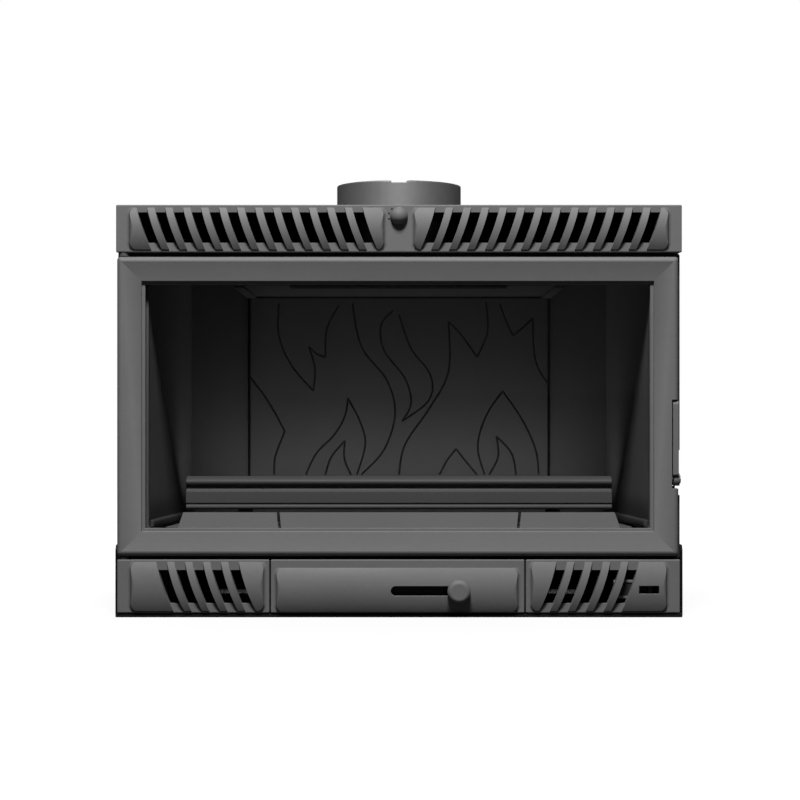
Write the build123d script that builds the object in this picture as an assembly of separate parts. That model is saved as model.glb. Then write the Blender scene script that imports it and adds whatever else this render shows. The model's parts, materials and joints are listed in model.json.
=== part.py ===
from build123d import *
import math
import os

# Cast-iron fireplace insert: a glazed side-hung door between two rows of convection grilles,
# a lined fire chamber, a round flue collar with a butterfly damper, and an ash drawer that
# carries the primary air slide.
# Millimetres. X runs to the right, Y to the back and Z up. The origin lies on the underside
# of the base plate, in the middle of the insert's width and depth.

# ---- Overall sizes --------------------------------------------------------------------
front_width = 700.0          # hood, measured across the front
body_depth = 430.0           # front lands to the back of the casing

# ---- Heights of the front, from the hearth up -----------------------------------------
base_thickness = 4.0
shadow_gap = 1.5             # dark line under the lower row
row_height = 66.2
door_gap_below = 4.3
door_height = 370.0
door_gap_above = 5.6
hood_height = 58.8

# ---- Front plates ---------------------------------------------------------------------
land_thickness = 6.0         # flat ground of every front plate
pillow_rise = 8.0            # how far the ribbed fields stand proud of the ground
pillow_step = 1.5            # height of a field's long sides where its bow starts
pillow_corner = 9.0          # rounded corners of a field
pillow_draft = 15.0          # degrees by which a field's ends lean in
pillow_blend = 4.8           # round of a field's ends into its face and into the ground
plate_corner = 1.6           # soft edges of the front plates
row_gap = 1.5                # between neighbouring plates of the lower row
left_plate_width = 188.5
right_plate_width = 190.9
row_left_inset = 1.3         # from the hood's left side to the row's left side
row_right_inset = 2.3

# ---- Slanted grille slots -------------------------------------------------------------
slot_width = 13.0
slot_pitch = 22.2
slot_lean = 19.3             # degrees from upright
slot_bend = 2.2              # bulge of a slot's sides over the height of the lower row
hood_slot_side = 11.0        # least field beside the outermost slot
row_slots = 5                # in each lower grille
hood_field_side = 12.6       # from the hood's side to its ribbed field
hood_field_middle = 14.0     # from the middle to each ribbed field
hood_field_foot = 3.4        # ground below the field
hood_field_head = 3.7        # ground above the field
hood_slot_foot = 8.3         # land between the field's lower edge and its slots
hood_slot_head = 5.7
hood_slot_middle = 15.6      # field beside the last slot, at the slots' lower end
row_field_outer = 12.6       # from a lower plate's outer side to its field
row_field_inner = 2.2
row_field_foot = 2.6
row_field_head = 3.1
row_slot_foot = 9.5
row_slot_head = 9.9
row_slot_inner = 17.6        # field beside the slot nearest to the drawer
drawer_field_left = 2.6      # ground of the drawer front round its field
drawer_field_right = 3.8
drawer_field_foot = 1.5
drawer_field_head = 10.5
hood_return_thickness = 4.0
row_return = 16.0

# ---- Door -----------------------------------------------------------------------------
door_hinge_inset = 1.35      # from the hood's side to the door's hinge edge
door_latch_inset = 4.35      # and to its free edge
door_thickness = 22.0
door_crest = 4.0             # rim in front of the flat lands
rim_radius = 6.0
bar_width = 30.0             # rim to the end of the sloping face
bar_fall = 6.0               # how far the face slopes back towards the glass
glass_lip = 4.2              # narrow step inside the sloping face
lip_step = 4.0
lip_thickness = 2.2
glass_thickness = 4.0
gasket_thickness = 1.5
glass_overlap = 4.2          # glass behind the lip
glass_play = 0.6
clip_sheet = 1.4
clip_width = 18.0
clip_foot = 4.0              # clip behind its screw
clip_hold = 0.4              # glass opening's edge to the clip's tip
clip_screw_head = 7.0        # across its corners
clip_screw_height = 2.0
seal_diameter = 7.0
seal_inset = 16.5            # seal's centre line from the door's edge
seal_corner = 22.0
seal_squeeze = 0.3           # seal to the frame's face, door closed
door_seat_gap = 4.0

# ---- Hinge ----------------------------------------------------------------------------
hinge_inset = 7.7            # pin axis from the door's hinge edge
hinge_pin_radius = 4.0
hinge_clearance = 0.06
hinge_engagement = 14.0
hinge_shoulder = 0.35
lug_radius = 7.0
lug_play = 0.5               # lug to door, along the pin

# ---- Latch ----------------------------------------------------------------------------
latch_notch_depth = 8.3      # cut into the door's free edge
latch_notch_foot = 83.4      # above the door's lower edge
latch_notch_height = 109.6
latch_boss_height = 94.6     # pivot above the door's lower edge
latch_boss_radius = 8.0
latch_boss_width = 7.5
latch_bar_width = 7.2
latch_bar_depth = 14.0
latch_reach = 97.4           # pivot to the lever's top
latch_pin_radius = 3.0
latch_pin_clearance = 0.06
latch_side_play = 1.3        # notch wall to lever
hook_depth = 31.0            # pivot to the hook's back
hook_drop = 8.2              # pivot to the hook's lowest point
catch_clearance = 0.3
pocket_below = 20.0          # frame pocket round the hook, below and above the pivot
pocket_above = 36.0
pocket_margin = 1.5

# ---- Front frame and firebox ----------------------------------------------------------
frame_thickness = 12.0
frame_side_inset = 5.0       # from the hood's side to the frame's side
frame_bar = 33.0             # width of the frame's upright bars
chamber_taper = 24.0         # how much the lined chamber narrows on each side towards its back
chamber_foot = 32.3          # frame opening above the lower row
chamber_head = 35.6          # frame opening below the hood
cast_wall = 8.0
liner_thickness = 10.0
liner_gap = 1.0
rear_channel = 75.0          # convection space behind the firebox, fins included
back_panel_thickness = 12.0
fireback_width = 417.0
fireback_thickness = 18.0
rear_ribs = 7
rear_rib_height = 12.0
rear_rib_side = 40.0         # outermost rib from the rear wall's side
rear_rib_inset = 20.0        # ribs from the rear wall's foot and head
rear_rib_root = 7.0
rear_rib_tip = 4.0

# ---- Hearth ---------------------------------------------------------------------------
ledge_front_height = 25.3    # above the firebox floor
ledge_back_height = 45.3
ledge_depth = 84.0
ledge_wall = 8.0
ledge_half_middle = 151.0    # half the width of the middle piece, half way to its back
ledge_skew = 3.5             # by which each joint runs out or in from there
ledge_joint = 3.2
ledge_end = 279.0            # outer ends, from the middle
bed_height = 26.3
bed_plate = 8.0
grate_width = 262.0
bed_rim = 27.0               # bed in front of the grate and behind it
grate_thickness = 12.0
grate_rest = 7.0             # ledge that carries the grate
grate_play = 1.0
grate_bars = 12
grate_slot = 9.0
lining_head = 8.0            # linings to the firebox top
bead_depth = 5.0             # bead along the side liners' foot
bead_height = 9.0
bead_lift = 3.5              # bead above the bed
retainer_end_play = 26.5     # from each end to the side liners at the retainer's back
retainer_height = 43.0
retainer_thickness = 18.0
retainer_lift = 22.0         # its underside above the bed

# ---- Baffle ---------------------------------------------------------------------------
baffle_side_play = 1.5       # baffle to the fireback's width, each side
baffle_thickness = 8.0
baffle_edge = 2.5            # thin front edge of the smoke throat
baffle_drop = 28.6           # its underside below the firebox top
throat_width = 282.0
throat_depth = 70.0
throat_from_frame = 116.0
rail_thickness = 3.0
rail_foot = 10.0

# ---- Flue collar and damper -----------------------------------------------------------
flue_bore = 155.0            # socket that takes a flue pipe of 153 outside
flue_socket = 50.0           # depth of the socket
flue_shoulder = 3.5          # seat of the pipe
collar_wall = 5.5
collar_top = 105.4           # above the firebox top
collar_setback = 230.0       # axis behind the front lands
collar_flange = 22.0         # flange beyond the collar's outside
collar_bolt_inset = 10.0     # bolts from the flange's edge
flange_thickness = 8.0
flange_bolt = 4.0            # radius
flange_bolt_head = 15.0      # across its corners
flange_bolt_height = 5.5
collar_notch_width = 20.0
collar_notch_depth = 2.5
damper_height = 45.1         # spindle axis above the firebox top
spindle_radius = 4.0
spindle_clearance = 0.08
spindle_boss_radius = 7.0
spindle_boss_reach = 9.0     # bosses beyond the collar's outside
flap_play = 4.0              # flap to the throat's wall
flap_flat = 15.0             # cut off each side of the round flap
flap_thickness = 3.0
flap_bore_play = 0.03
flap_screw_offset = 35.0     # set screws in front of the axis and behind it
damper_knob_radius = 11.0
damper_knob_height = 12.0
ring_thickness = 2.0
ring_width = 28.0
ring_clearance = 0.4

# ---- Ash drawer and air slides --------------------------------------------------------
pan_height = 44.0
pan_play = 0.3               # pan above the folds that it slides on
pan_wall = 1.5
pan_side_inset = 7.0         # from the drawer front's side to the pan
pan_past_grate = 4.0         # pan behind the grate's back edge
pan_front_height = 16.0
guide_clearance = 3.0
runner_width = 16.0
air_slot_height = 12.3
air_slot_centre = 27.7       # above the drawer front's lower edge
air_travel = 77.8
air_knob_radius = 14.2
air_knob_height = 15.0
air_knob_offset = 75.5       # knob to the right of the drawer front's middle
air_neck_radius = 5.0
slide_thickness = 2.5
slide_play = 0.3
tongue_window_width = 25.0
tongue_window_height = 10.0
tongue_window_side = 26.7    # from the plate's outer side
tongue_window_foot = 24.2    # above the plate's lower edge
tongue_travel = 8.0

# ---- Casing ---------------------------------------------------------------------------
sheet = 2.0
casing_inset = 5.0           # casing inside the frame's sides
skirt_height = 88.0
skirt_thickness = 3.0
base_side = 1.3              # base plate beyond the hood's side
screw_radius = 2.5
screw_length = 5.5
screw_head = 9.0             # across its corners
screw_head_height = 2.4
rib_half_width = 9.0         # pressed ribs of the sheets
top_overlap = 9.0            # casing top over the front frame
top_clearance = 3.0          # casing top to the collar
inlet_width = 60.0           # air inlets of the back sheet
inlet_height = 12.0
inlet_level = 54.0           # middle of the inlets

# ---- Levels and planes worked out from the sizes above --------------------------------
row_bottom = base_thickness + shadow_gap
row_top = row_bottom + row_height
door_bottom = row_top + door_gap_below
door_top = door_bottom + door_height
hood_bottom = door_top + door_gap_above
hood_top = hood_bottom + hood_height
roof_top = hood_bottom
roof_bottom = roof_top - cast_wall
floor_bottom = row_top
floor_top = floor_bottom + cast_wall
casing_roof = hood_top - hood_return_thickness

front = -body_depth / 2
rear = body_depth / 2
land_back = front + land_thickness
door_front = front - door_crest
door_back = door_front + door_thickness
frame_front = door_back + door_seat_gap
frame_back = frame_front + frame_thickness
wall_back = rear - sheet - rear_channel
wall_front = wall_back - cast_wall
fireback_front = wall_front - fireback_thickness
panel_front = wall_front - back_panel_thickness
chamber_depth = panel_front - frame_back
collar_y = front + collar_setback

half_front = front_width / 2
row_left = -half_front + row_left_inset
row_right = half_front - row_right_inset
drawer_left = row_left + left_plate_width + row_gap
drawer_right = row_right - right_plate_width - row_gap
drawer_middle = (drawer_left + drawer_right) / 2
door_left = -half_front + door_hinge_inset
door_right = half_front - door_latch_inset
door_width = door_right - door_left
door_middle = (door_left + door_right) / 2
frame_half = half_front - frame_side_inset
casing_width = 2 * (frame_half - casing_inset)
chamber_half_front = frame_half - frame_bar
chamber_half_back = chamber_half_front - chamber_taper
lean = math.tan(math.radians(slot_lean))
hood_slot_rise = hood_height - hood_field_foot - hood_field_head - hood_slot_foot - hood_slot_head
hood_slot_room = (half_front - hood_field_side - hood_slot_side - lean * hood_slot_rise
                  - hood_field_middle - hood_slot_middle)
hood_slots = int((hood_slot_room - slot_width) / slot_pitch) + 1     # in each half of the hood
bed_top = floor_top + bed_height
baffle_bottom = roof_bottom - baffle_drop
baffle_width = fireback_width - 2 * baffle_side_play
spindle_z = roof_top + damper_height
bed_front = frame_back + 4 + ledge_depth
bed_back = fireback_front - 1
grate_depth = bed_back - bed_front - 2 * bed_rim + 6
grate_y = bed_front + bed_rim + 4.5 + grate_depth / 2
collar_radius = flue_bore / 2 + collar_wall
flue_throat = flue_bore - 2 * flue_shoulder
flap_radius = flue_throat / 2 - flap_play
hinge_x = door_left + hinge_inset
hinge_y = (door_front + door_back) / 2 + 1.0
latch_y = hinge_y
latch_z = door_bottom + latch_boss_height


# ---- Shapes used in many places -------------------------------------------------------
def plate(x, y, z):
    """A flat plate between a low and a high side along X, Y and Z."""
    spans = [(min(pair), max(pair)) for pair in (x, y, z)]
    size = [high - low for low, high in spans]
    middle = [(low + high) / 2 for low, high in spans]
    return Pos(*middle) * Box(*size)


def prism_x(outline, x_low, x_high):
    """Extrude an outline of (y, z) points along X."""
    face = Plane.YZ.offset(x_low) * Polygon(*outline, align=None)
    return extrude(face, x_high - x_low, dir=(1, 0, 0))


def prism_y(outline, y_low, y_high):
    """Extrude an outline of (x, z) points along Y."""
    face = Plane.XZ.offset(-y_low) * Polygon(*outline, align=None)
    return extrude(face, y_high - y_low, dir=(0, 1, 0))


def prism_z(outline, z_low, z_high):
    """Extrude an outline of (x, y) points upwards."""
    face = Plane.XY.offset(z_low) * Polygon(*outline, align=None)
    return extrude(face, z_high - z_low, dir=(0, 0, 1))


def rod(start, end, radius):
    """A round bar between two points that differ along one axis only."""
    start, end = Vector(*start), Vector(*end)
    run = end - start
    return extrude(Plane(origin=start, z_dir=run) * Circle(radius), run.length)


def hex_head(seat_point, direction, across_corners, height):
    """A hexagon head that stands on the point, on the side away from the direction."""
    point, way = Vector(*seat_point), Vector(*direction)
    return extrude(Plane(origin=point, z_dir=-way) * RegularPolygon(across_corners / 2, 6), height)


def screw(seat_point, direction):
    """A hexagon sheet screw: its head stands on the point, its shank runs along the direction."""
    point, way = Vector(*seat_point), Vector(*direction)
    return (hex_head(point, way, screw_head, screw_head_height)
            + rod(point, point + way * screw_length, screw_radius))


def half_width(y, beyond=0.0):
    """Half the width of the tapering fire chamber at depth y."""
    share = (y - frame_back) / chamber_depth
    return chamber_half_front + (chamber_half_back - chamber_half_front) * share + beyond


def tapered_wall(side, inner, outer, y_low, y_high, z_low, z_high):
    """An upright wall that follows the chamber's taper, on the left (-1) or right (1)."""
    outline = [
        (side * half_width(y_low, inner), y_low),
        (side * half_width(y_high, inner), y_high),
        (side * half_width(y_high, outer), y_high),
        (side * half_width(y_low, outer), y_low),
    ]
    return prism_z(outline, z_low, z_high)


def pillow(x_low, x_high, z_low, z_high):
    """A raised field with a bowed face, whose ends blend into the ground of its plate."""
    edge, crest = front - pillow_step, front - pillow_rise
    middle = ((x_low + x_high) / 2, (z_low + z_high) / 2)
    bow = make_face(Line((front, z_low), (edge, z_low))
                    + ThreePointArc((edge, z_low), (crest, middle[1]), (edge, z_high))
                    + Line((edge, z_high), (front, z_high)) + Line((front, z_high), (front, z_low)))
    along = extrude(Plane.YZ.offset(x_low) * bow, x_high - x_low, dir=(1, 0, 0))
    spread = pillow_blend * math.tan(math.radians((90 - pillow_draft) / 2))
    plan = RectangleRounded(x_high - x_low - 2 * spread, z_high - z_low, pillow_corner)
    block = extrude(Plane.XZ.offset(-front) * Pos(*middle) * plan, pillow_rise, taper=pillow_draft)
    block = fillet(block.faces().sort_by(Axis.Y)[0].edges(), pillow_blend)
    ground = plate((x_low - 1, x_high + 1), (front, front + 1), (z_low - 9, z_high + 9))
    foot = block.faces().sort_by(Axis.Y)[-1].edges()
    block += ground
    marks = [e.center() for e in foot]
    rim = [e for e in block.edges() if any((e.center() - mark).length < 0.01 for mark in marks)]
    return along & fillet(rim, pillow_blend)


def slant_cuts(first_x, side, count, foot, head, base_z, y_low, y_high):
    """Slanted, slightly curved cutters in a row. first_x is the first one's left side at the
    height base_z, and side is 1 where the tops lean to the right and -1 to the left."""
    cuts = []
    level = (foot + head) / 2
    for index in range(count):
        low = first_x + index * slot_pitch + side * lean * (foot - base_z)
        high = first_x + index * slot_pitch + side * lean * (head - base_z)
        bulge = (low + high) / 2 + side * slot_bend * ((head - foot) / row_height) ** 2
        left = ThreePointArc((low, foot), (bulge, level), (high, head))
        right = Pos(slot_width, 0) * left
        ends = [Line((x, z), (x + slot_width, z)) for x, z in ((low, foot), (high, head))]
        face = Plane.XZ.offset(-y_low) * make_face([left, right, *ends])
        cuts.append(extrude(face, y_high - y_low, dir=(0, 1, 0)))
    return cuts


def ribbed_field(x_low, x_high, z_low, z_high, first_x, side, count, foot, head):
    """A bowed field cut into arched ribs, and the cutters of the open slots between them."""
    past = front - pillow_rise - 1
    gaps = slant_cuts(first_x, side, count, z_low - 1, z_high + 1, z_low + foot, past, front)
    ribs = pillow(x_low, x_high, z_low, z_high) - gaps
    slots = slant_cuts(first_x, side, count, z_low - 1, z_high + 1, z_low + foot,
                       front - 0.5, land_back + 1)
    opening = plate((x_low, x_high), (front - 1, land_back + 2), (z_low + foot, z_high - head))
    return ribs, [slot & opening for slot in slots]


def ring_path(x_low, x_high, z_low, z_high, radius, y):
    """A rounded rectangle in an upright plane, for seals that run all round."""
    middle = ((x_low + x_high) / 2, (z_low + z_high) / 2)
    return (Plane.XZ.offset(-y) * Pos(*middle)
            * RectangleRounded(x_high - x_low, z_high - z_low, radius))


# ---- Base, legs and casing ------------------------------------------------------------
def make_base_plate():
    half = half_front + base_side
    slab = plate((-half, half), (front + 2, rear), (0, base_thickness))
    corners = slab.edges().filter_by(Axis.Z).group_by(Axis.Y)[0]
    return fillet(corners, 4)


def make_body_legs():
    """Cross-shaped feet that carry the firebox on the base plate."""
    legs = []
    for side in (-1, 1):
        for y in (frame_back + 40, wall_back - 30):
            x = side * half_width(y, -14)
            web = plate((x - 20, x + 20), (y - 3, y + 3), (base_thickness, floor_bottom))
            cross = plate((x - 3, x + 3), (y - 20, y + 20), (base_thickness, floor_bottom))
            legs.append(web + cross)
    return Compound(children=legs)


def make_side_skirt(side):
    inner = half_front + base_side
    x = (side * inner, side * (inner + skirt_thickness))
    low_front = frame_front + 5
    outline = [(low_front, 0), (low_front, skirt_height - 6), (low_front + 6, skirt_height),
               (rear - 130, skirt_height), (rear - 60, 30), (rear - 60, 0)]
    return prism_x(outline, min(x), max(x))


def rib_outline(x_middle, z_low, z_high, half):
    """An upright strip with pointed ends."""
    return Polygon((x_middle - half, z_low + half), (x_middle, z_low), (x_middle + half, z_low + half),
                   (x_middle + half, z_high - half), (x_middle, z_high), (x_middle - half, z_high - half),
                   align=None)


def pressed_rib(x_middle, z_low, z_high):
    """An upright stiffening rib pressed into a sheet whose outer face lies at y = 0. Returns the
    metal that it adds inside and the hollow that it leaves outside."""
    half, edge = rib_half_width, rib_half_width - 1
    pad = extrude(Plane.XZ.offset(sheet) * rib_outline(x_middle, z_low, z_high, half), sheet,
                  dir=(0, -1, 0), taper=20)
    hollow = extrude(Plane.XZ * rib_outline(x_middle, z_low + 1, z_high - 1, edge), sheet,
                     dir=(0, -1, 0), taper=20)
    return pad, hollow


def make_casing_side(side):
    """Side sheet with two pressed ribs and a folded edge for the back sheet."""
    outer = side * casing_width / 2
    inner = outer - side * sheet
    wall = plate((inner, outer), (frame_back, rear), (base_thickness, casing_roof - sheet))
    wall += plate((inner, inner - side * 14), (rear - 2 * sheet, rear - sheet),
                  (base_thickness, casing_roof - sheet))
    for share in (0.3, 0.68):
        place = Pos(outer, frame_back + share * (rear - frame_back), 0) * Rot(0, 0, -90 * side)
        pad, hollow = pressed_rib(0, skirt_height + 30, casing_roof - 60)
        wall = wall + place * pad - place * hollow
    return wall


def make_casing_back():
    """Back sheet with pressed ribs and a row of air inlets near its foot."""
    half = casing_width / 2 - sheet
    wall = plate((-half, half), (rear - sheet, rear), (base_thickness, casing_roof - sheet))
    for x in (-half / 2, 0, half / 2):
        pad, hollow = pressed_rib(x, inlet_level + 26, casing_roof - 70)
        wall = wall + Pos(0, rear, 0) * pad - Pos(0, rear, 0) * hollow
    inlet = extrude(Plane.XZ * SlotOverall(inlet_width, inlet_height), 3 * sheet, both=True)
    return wall - [Pos(share * half, rear, inlet_level) * inlet
                   for share in (-0.7, -0.35, 0, 0.35, 0.7)]


def casing_screw_points():
    points = []
    for side in (-1, 1):
        for z in (30, casing_roof / 2, casing_roof - 26):
            points.append((side * (casing_width / 2 - sheet - 7), rear, z))
    return points


def make_casing_top():
    half = casing_width / 2
    sheet_plate = plate((-half, half), (frame_back - top_overlap, rear),
                        (casing_roof - sheet, casing_roof))
    opening = rod((0, collar_y, casing_roof - 5), (0, collar_y, casing_roof + 5),
                  collar_radius + top_clearance)
    return sheet_plate - opening


def ring_screw_points():
    radius = collar_radius + ring_width - 7
    return [(radius * math.cos(math.radians(turn)), collar_y + radius * math.sin(math.radians(turn)),
             casing_roof + ring_thickness) for turn in (30, 150, 210, 330)]


def make_collar_ring():
    outer = rod((0, collar_y, casing_roof), (0, collar_y, casing_roof + ring_thickness),
                collar_radius + ring_width)
    inner = rod((0, collar_y, casing_roof - 1), (0, collar_y, casing_roof + 5),
                collar_radius + ring_clearance)
    return outer - inner


def make_casing_screws():
    back = [screw(point, (0, -1, 0)) for point in casing_screw_points()]
    top = [screw(point, (0, 0, -1)) for point in ring_screw_points()]
    return Compound(children=back + top)


def drill_for_screws(shape, points, direction):
    """Clearance-free pilot holes for the casing screws."""
    way = Vector(*direction)
    holes = [rod(Vector(*p) - way * 3, Vector(*p) + way * 12, screw_radius) for p in points]
    return shape - holes


# ---- Firebox --------------------------------------------------------------------------
def chute_outline(margin):
    """The opening under the grate, through which ash drops into the pan."""
    half_x = grate_width / 2 - grate_rest + margin
    half_y = grate_depth / 2 - grate_rest + margin
    return (-half_x, half_x), (grate_y - half_y, grate_y + half_y)


def make_firebox_floor():
    outline = [(-half_width(frame_back, 19), frame_back), (half_width(frame_back, 19), frame_back),
               (half_width(wall_back, 19), wall_back), (-half_width(wall_back, 19), wall_back)]
    slab = prism_z(outline, floor_bottom, floor_top)
    x, y = chute_outline(0)
    return slab - plate(x, y, (floor_bottom - 1, floor_top + 1))


def make_firebox_side(side):
    inner = liner_thickness + liner_gap
    return tapered_wall(side, inner, inner + cast_wall, frame_back, wall_back, floor_top, roof_bottom)


def make_firebox_back():
    """Rear wall with upright fins that give off heat to the convection air."""
    half = half_width(wall_back, liner_thickness + liner_gap)
    wall = plate((-half, half), (wall_front, wall_back), (floor_top, roof_bottom))
    pitch = 2 * (half - rear_rib_side) / (rear_ribs - 1)
    root, tip = rear_rib_root / 2, rear_rib_tip / 2
    low, high = wall_back - 1, wall_back + rear_rib_height
    fins = []
    for index in range(rear_ribs):
        x = -half + rear_rib_side + index * pitch
        outline = [(x - root, low), (x + root, low), (x + tip, high), (x - tip, high)]
        fins.append(prism_z(outline, floor_top + rear_rib_inset, roof_bottom - rear_rib_inset))
    return wall + fins


def make_firebox_top():
    beyond = liner_thickness + liner_gap + cast_wall
    outline = [(-half_width(frame_back, beyond), frame_back),
               (half_width(frame_back, beyond), frame_back),
               (half_width(wall_back, beyond), wall_back),
               (-half_width(wall_back, beyond), wall_back)]
    slab = prism_z(outline, roof_bottom, roof_top)
    return slab - rod((0, collar_y, roof_bottom - 1), (0, collar_y, roof_top + 1), flue_throat / 2)


def pocket_side():
    return door_right - latch_notch_depth - pocket_margin


def make_front_frame():
    """Ring that the door shuts against, with its hinge lugs and the pocket of the catch."""
    ring = plate((-half_front, half_front), (frame_front, frame_back), (row_top, hood_bottom))
    ring = fillet(ring.edges().filter_by(Axis.Y), 3)
    opening = plate((-chamber_half_front, chamber_half_front), (frame_front - 1, frame_back + 1),
                    (row_top + chamber_foot, hood_bottom - chamber_head))
    opening = fillet(opening.edges().filter_by(Axis.Y), 10)
    ring -= opening
    pocket = plate((pocket_side(), half_front + 1), (frame_front - 1, frame_back + 1),
                   (latch_z - pocket_below, latch_z + pocket_above))
    ring -= pocket
    for low, high in ((row_top, door_bottom - lug_play), (door_top + lug_play, hood_bottom)):
        tongue = plate((hinge_x - lug_radius, hinge_x + lug_radius), (hinge_y, frame_front + 1),
                       (low, high))
        tongue += rod((hinge_x, hinge_y, low), (hinge_x, hinge_y, high), lug_radius)
        ring += tongue
    for low, high in ((row_top, door_bottom), (door_top, hood_bottom)):
        ring -= rod((hinge_x, hinge_y, low - 1), (hinge_x, hinge_y, high + 1), hinge_pin_radius)
    return ring


def make_hinge_pins():
    """Two pins held in the frame's lugs. The lower one has a shoulder that carries the door."""
    low = door_bottom - lug_play
    lower = rod((hinge_x, hinge_y, row_top), (hinge_x, hinge_y, door_bottom + hinge_engagement - 1),
                hinge_pin_radius)
    lower += rod((hinge_x, hinge_y, low), (hinge_x, hinge_y, low + hinge_shoulder), lug_radius - 1)
    upper = rod((hinge_x, hinge_y, door_top - hinge_engagement + 1),
                (hinge_x, hinge_y, hood_bottom), hinge_pin_radius)
    return Compound(children=[lower, upper])


def make_catch_spring():
    """Bent leaf in the frame's pocket. It is drawn pressed down, as the hook's nose holds it."""
    foot = latch_z - pocket_below
    crest = latch_z - hook_drop - catch_clearance
    y_low, y_high = frame_front + 0.5, frame_back - 0.5
    middle = y_low + 4.5
    outline = [(y_low, foot), (y_high, foot), (y_high, foot + 1.2), (y_low + 1.6, foot + 1.2),
               (middle, crest - 1.4), (y_high - 2, crest - 6), (y_high - 1, crest - 5.2),
               (middle + 0.4, crest), (middle - 0.8, crest), (y_low, foot + 1.2)]
    return prism_x(outline, pocket_side(), frame_half - 0.5)


# ---- Linings of the fire chamber ------------------------------------------------------
def make_side_liner(side):
    """Tapering side plate with a rounded bead along its foot."""
    back = panel_front - 0.5
    wall = tapered_wall(side, 0, liner_thickness, frame_back, back, floor_top,
                        roof_bottom - lining_head)
    bead = tapered_wall(side, -bead_depth, 1, frame_back + 3, back, bed_top + bead_lift,
                        bed_top + bead_lift + bead_height)
    long_edges = bead.edges().filter_by(lambda edge: edge.length > chamber_depth / 2)
    inner = long_edges.sort_by(lambda edge: abs(edge.center().X))[:2]
    return wall + fillet(inner, bead_depth * 0.6)


def make_fireback():
    """Cast fireback with a bevelled front edge all round."""
    half = fireback_width / 2
    slab = plate((-half, half), (fireback_front, wall_front), (floor_top, baffle_bottom))
    rim = slab.faces().sort_by(Axis.Y)[0].edges()
    return chamfer(rim, 2.5)


def make_back_panel(side):
    inner = side * (fireback_width / 2 + 1)
    outer = side * (half_width(panel_front) + liner_thickness)
    return plate((inner, outer), (panel_front, wall_front), (floor_top, roof_bottom - lining_head))


def make_hearth_ledge(x_front, x_back):
    """One length of the sloping cast sill in front of the log retainer, open underneath.
    x_front and x_back are its ends, left and right, at its front and at its back."""
    y0 = frame_back + 2
    y1 = y0 + ledge_depth
    slope = (ledge_back_height - ledge_front_height) / ledge_depth
    z0, z1 = floor_top + ledge_front_height, floor_top + ledge_back_height
    under = ledge_wall + 0.5
    section = [(y0, floor_top), (y0, z0), (y1, z1), (y1, floor_top), (y1 - ledge_wall, floor_top),
               (y1 - ledge_wall, z1 - under - slope * ledge_wall),
               (y0 + ledge_wall, z0 - under + slope * ledge_wall), (y0 + ledge_wall, floor_top)]
    widest = max(abs(x) for x in x_front + x_back) + 5
    sill = prism_x(section, -widest, widest)
    plan = [(x_front[0], y0 - 1), (x_front[1], y0 - 1), (x_back[1], y1 + 1), (x_back[0], y1 + 1)]
    return sill & prism_z(plan, floor_top - 1, z1 + 1)


def make_hearth_ledges():
    """Left, middle and right length of the sill. The joints spread towards the back."""
    x_front, x_back = ledge_half_middle - ledge_skew, ledge_half_middle + ledge_skew
    middle = make_hearth_ledge((-x_front, x_front), (-x_back, x_back))
    x_front, x_back = x_front + ledge_joint, x_back + ledge_joint
    right = make_hearth_ledge((x_front, ledge_end), (x_back, ledge_end))
    left = make_hearth_ledge((-ledge_end, -x_front), (-ledge_end, -x_back))
    return left, middle, right


def make_hearth_bed():
    """Upturned tray round the grate, with a rest for it all round the ash opening."""
    y0, y1 = bed_front + 1, bed_back
    outline = [(-half_width(y0, -liner_gap), y0), (half_width(y0, -liner_gap), y0),
               (half_width(y1, -liner_gap), y1), (-half_width(y1, -liner_gap), y1)]
    tray = prism_z(outline, floor_top, bed_top)
    x, y = chute_outline(0)
    wide = [(-half_width(y0, -12), y0 + 9), (half_width(y0, -12), y0 + 9),
            (half_width(y1, -12), y1 - 9), (-half_width(y1, -12), y1 - 9)]
    hollow = prism_z(wide, floor_top - 1, bed_top - bed_plate)
    wall = 12
    hollow -= plate((x[0] - wall, x[1] + wall), (y[0] - wall, y[1] + wall), (0, bed_top))
    seat_x, seat_y = chute_outline(grate_rest + grate_play)
    seat = plate(seat_x, seat_y, (bed_top - grate_thickness + 2, bed_top + 1))
    return tray - hollow - seat - plate(x, y, (floor_top - 1, bed_top + 1))


def make_fire_grate():
    """Flat grate with two rows of long slots whose lower ends are as wide as their upper ones."""
    z0 = bed_top - grate_thickness + 2
    slab = plate((-grate_width / 2, grate_width / 2),
                 (grate_y - grate_depth / 2, grate_y + grate_depth / 2), (z0, z0 + grate_thickness))
    slot_length = grate_depth / 2 - 16
    pitch = (grate_width - 30) / grate_bars
    slots = []
    for row in (-1, 1):
        for index in range(grate_bars):
            x = (index - (grate_bars - 1) / 2) * pitch
            y = grate_y + row * (slot_length / 2 + 4)
            cut = Rectangle(grate_slot, slot_length)
            slots.append(Pos(x, y, z0 - 1) * extrude(cut, grate_thickness + 2))
    return slab - slots


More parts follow.
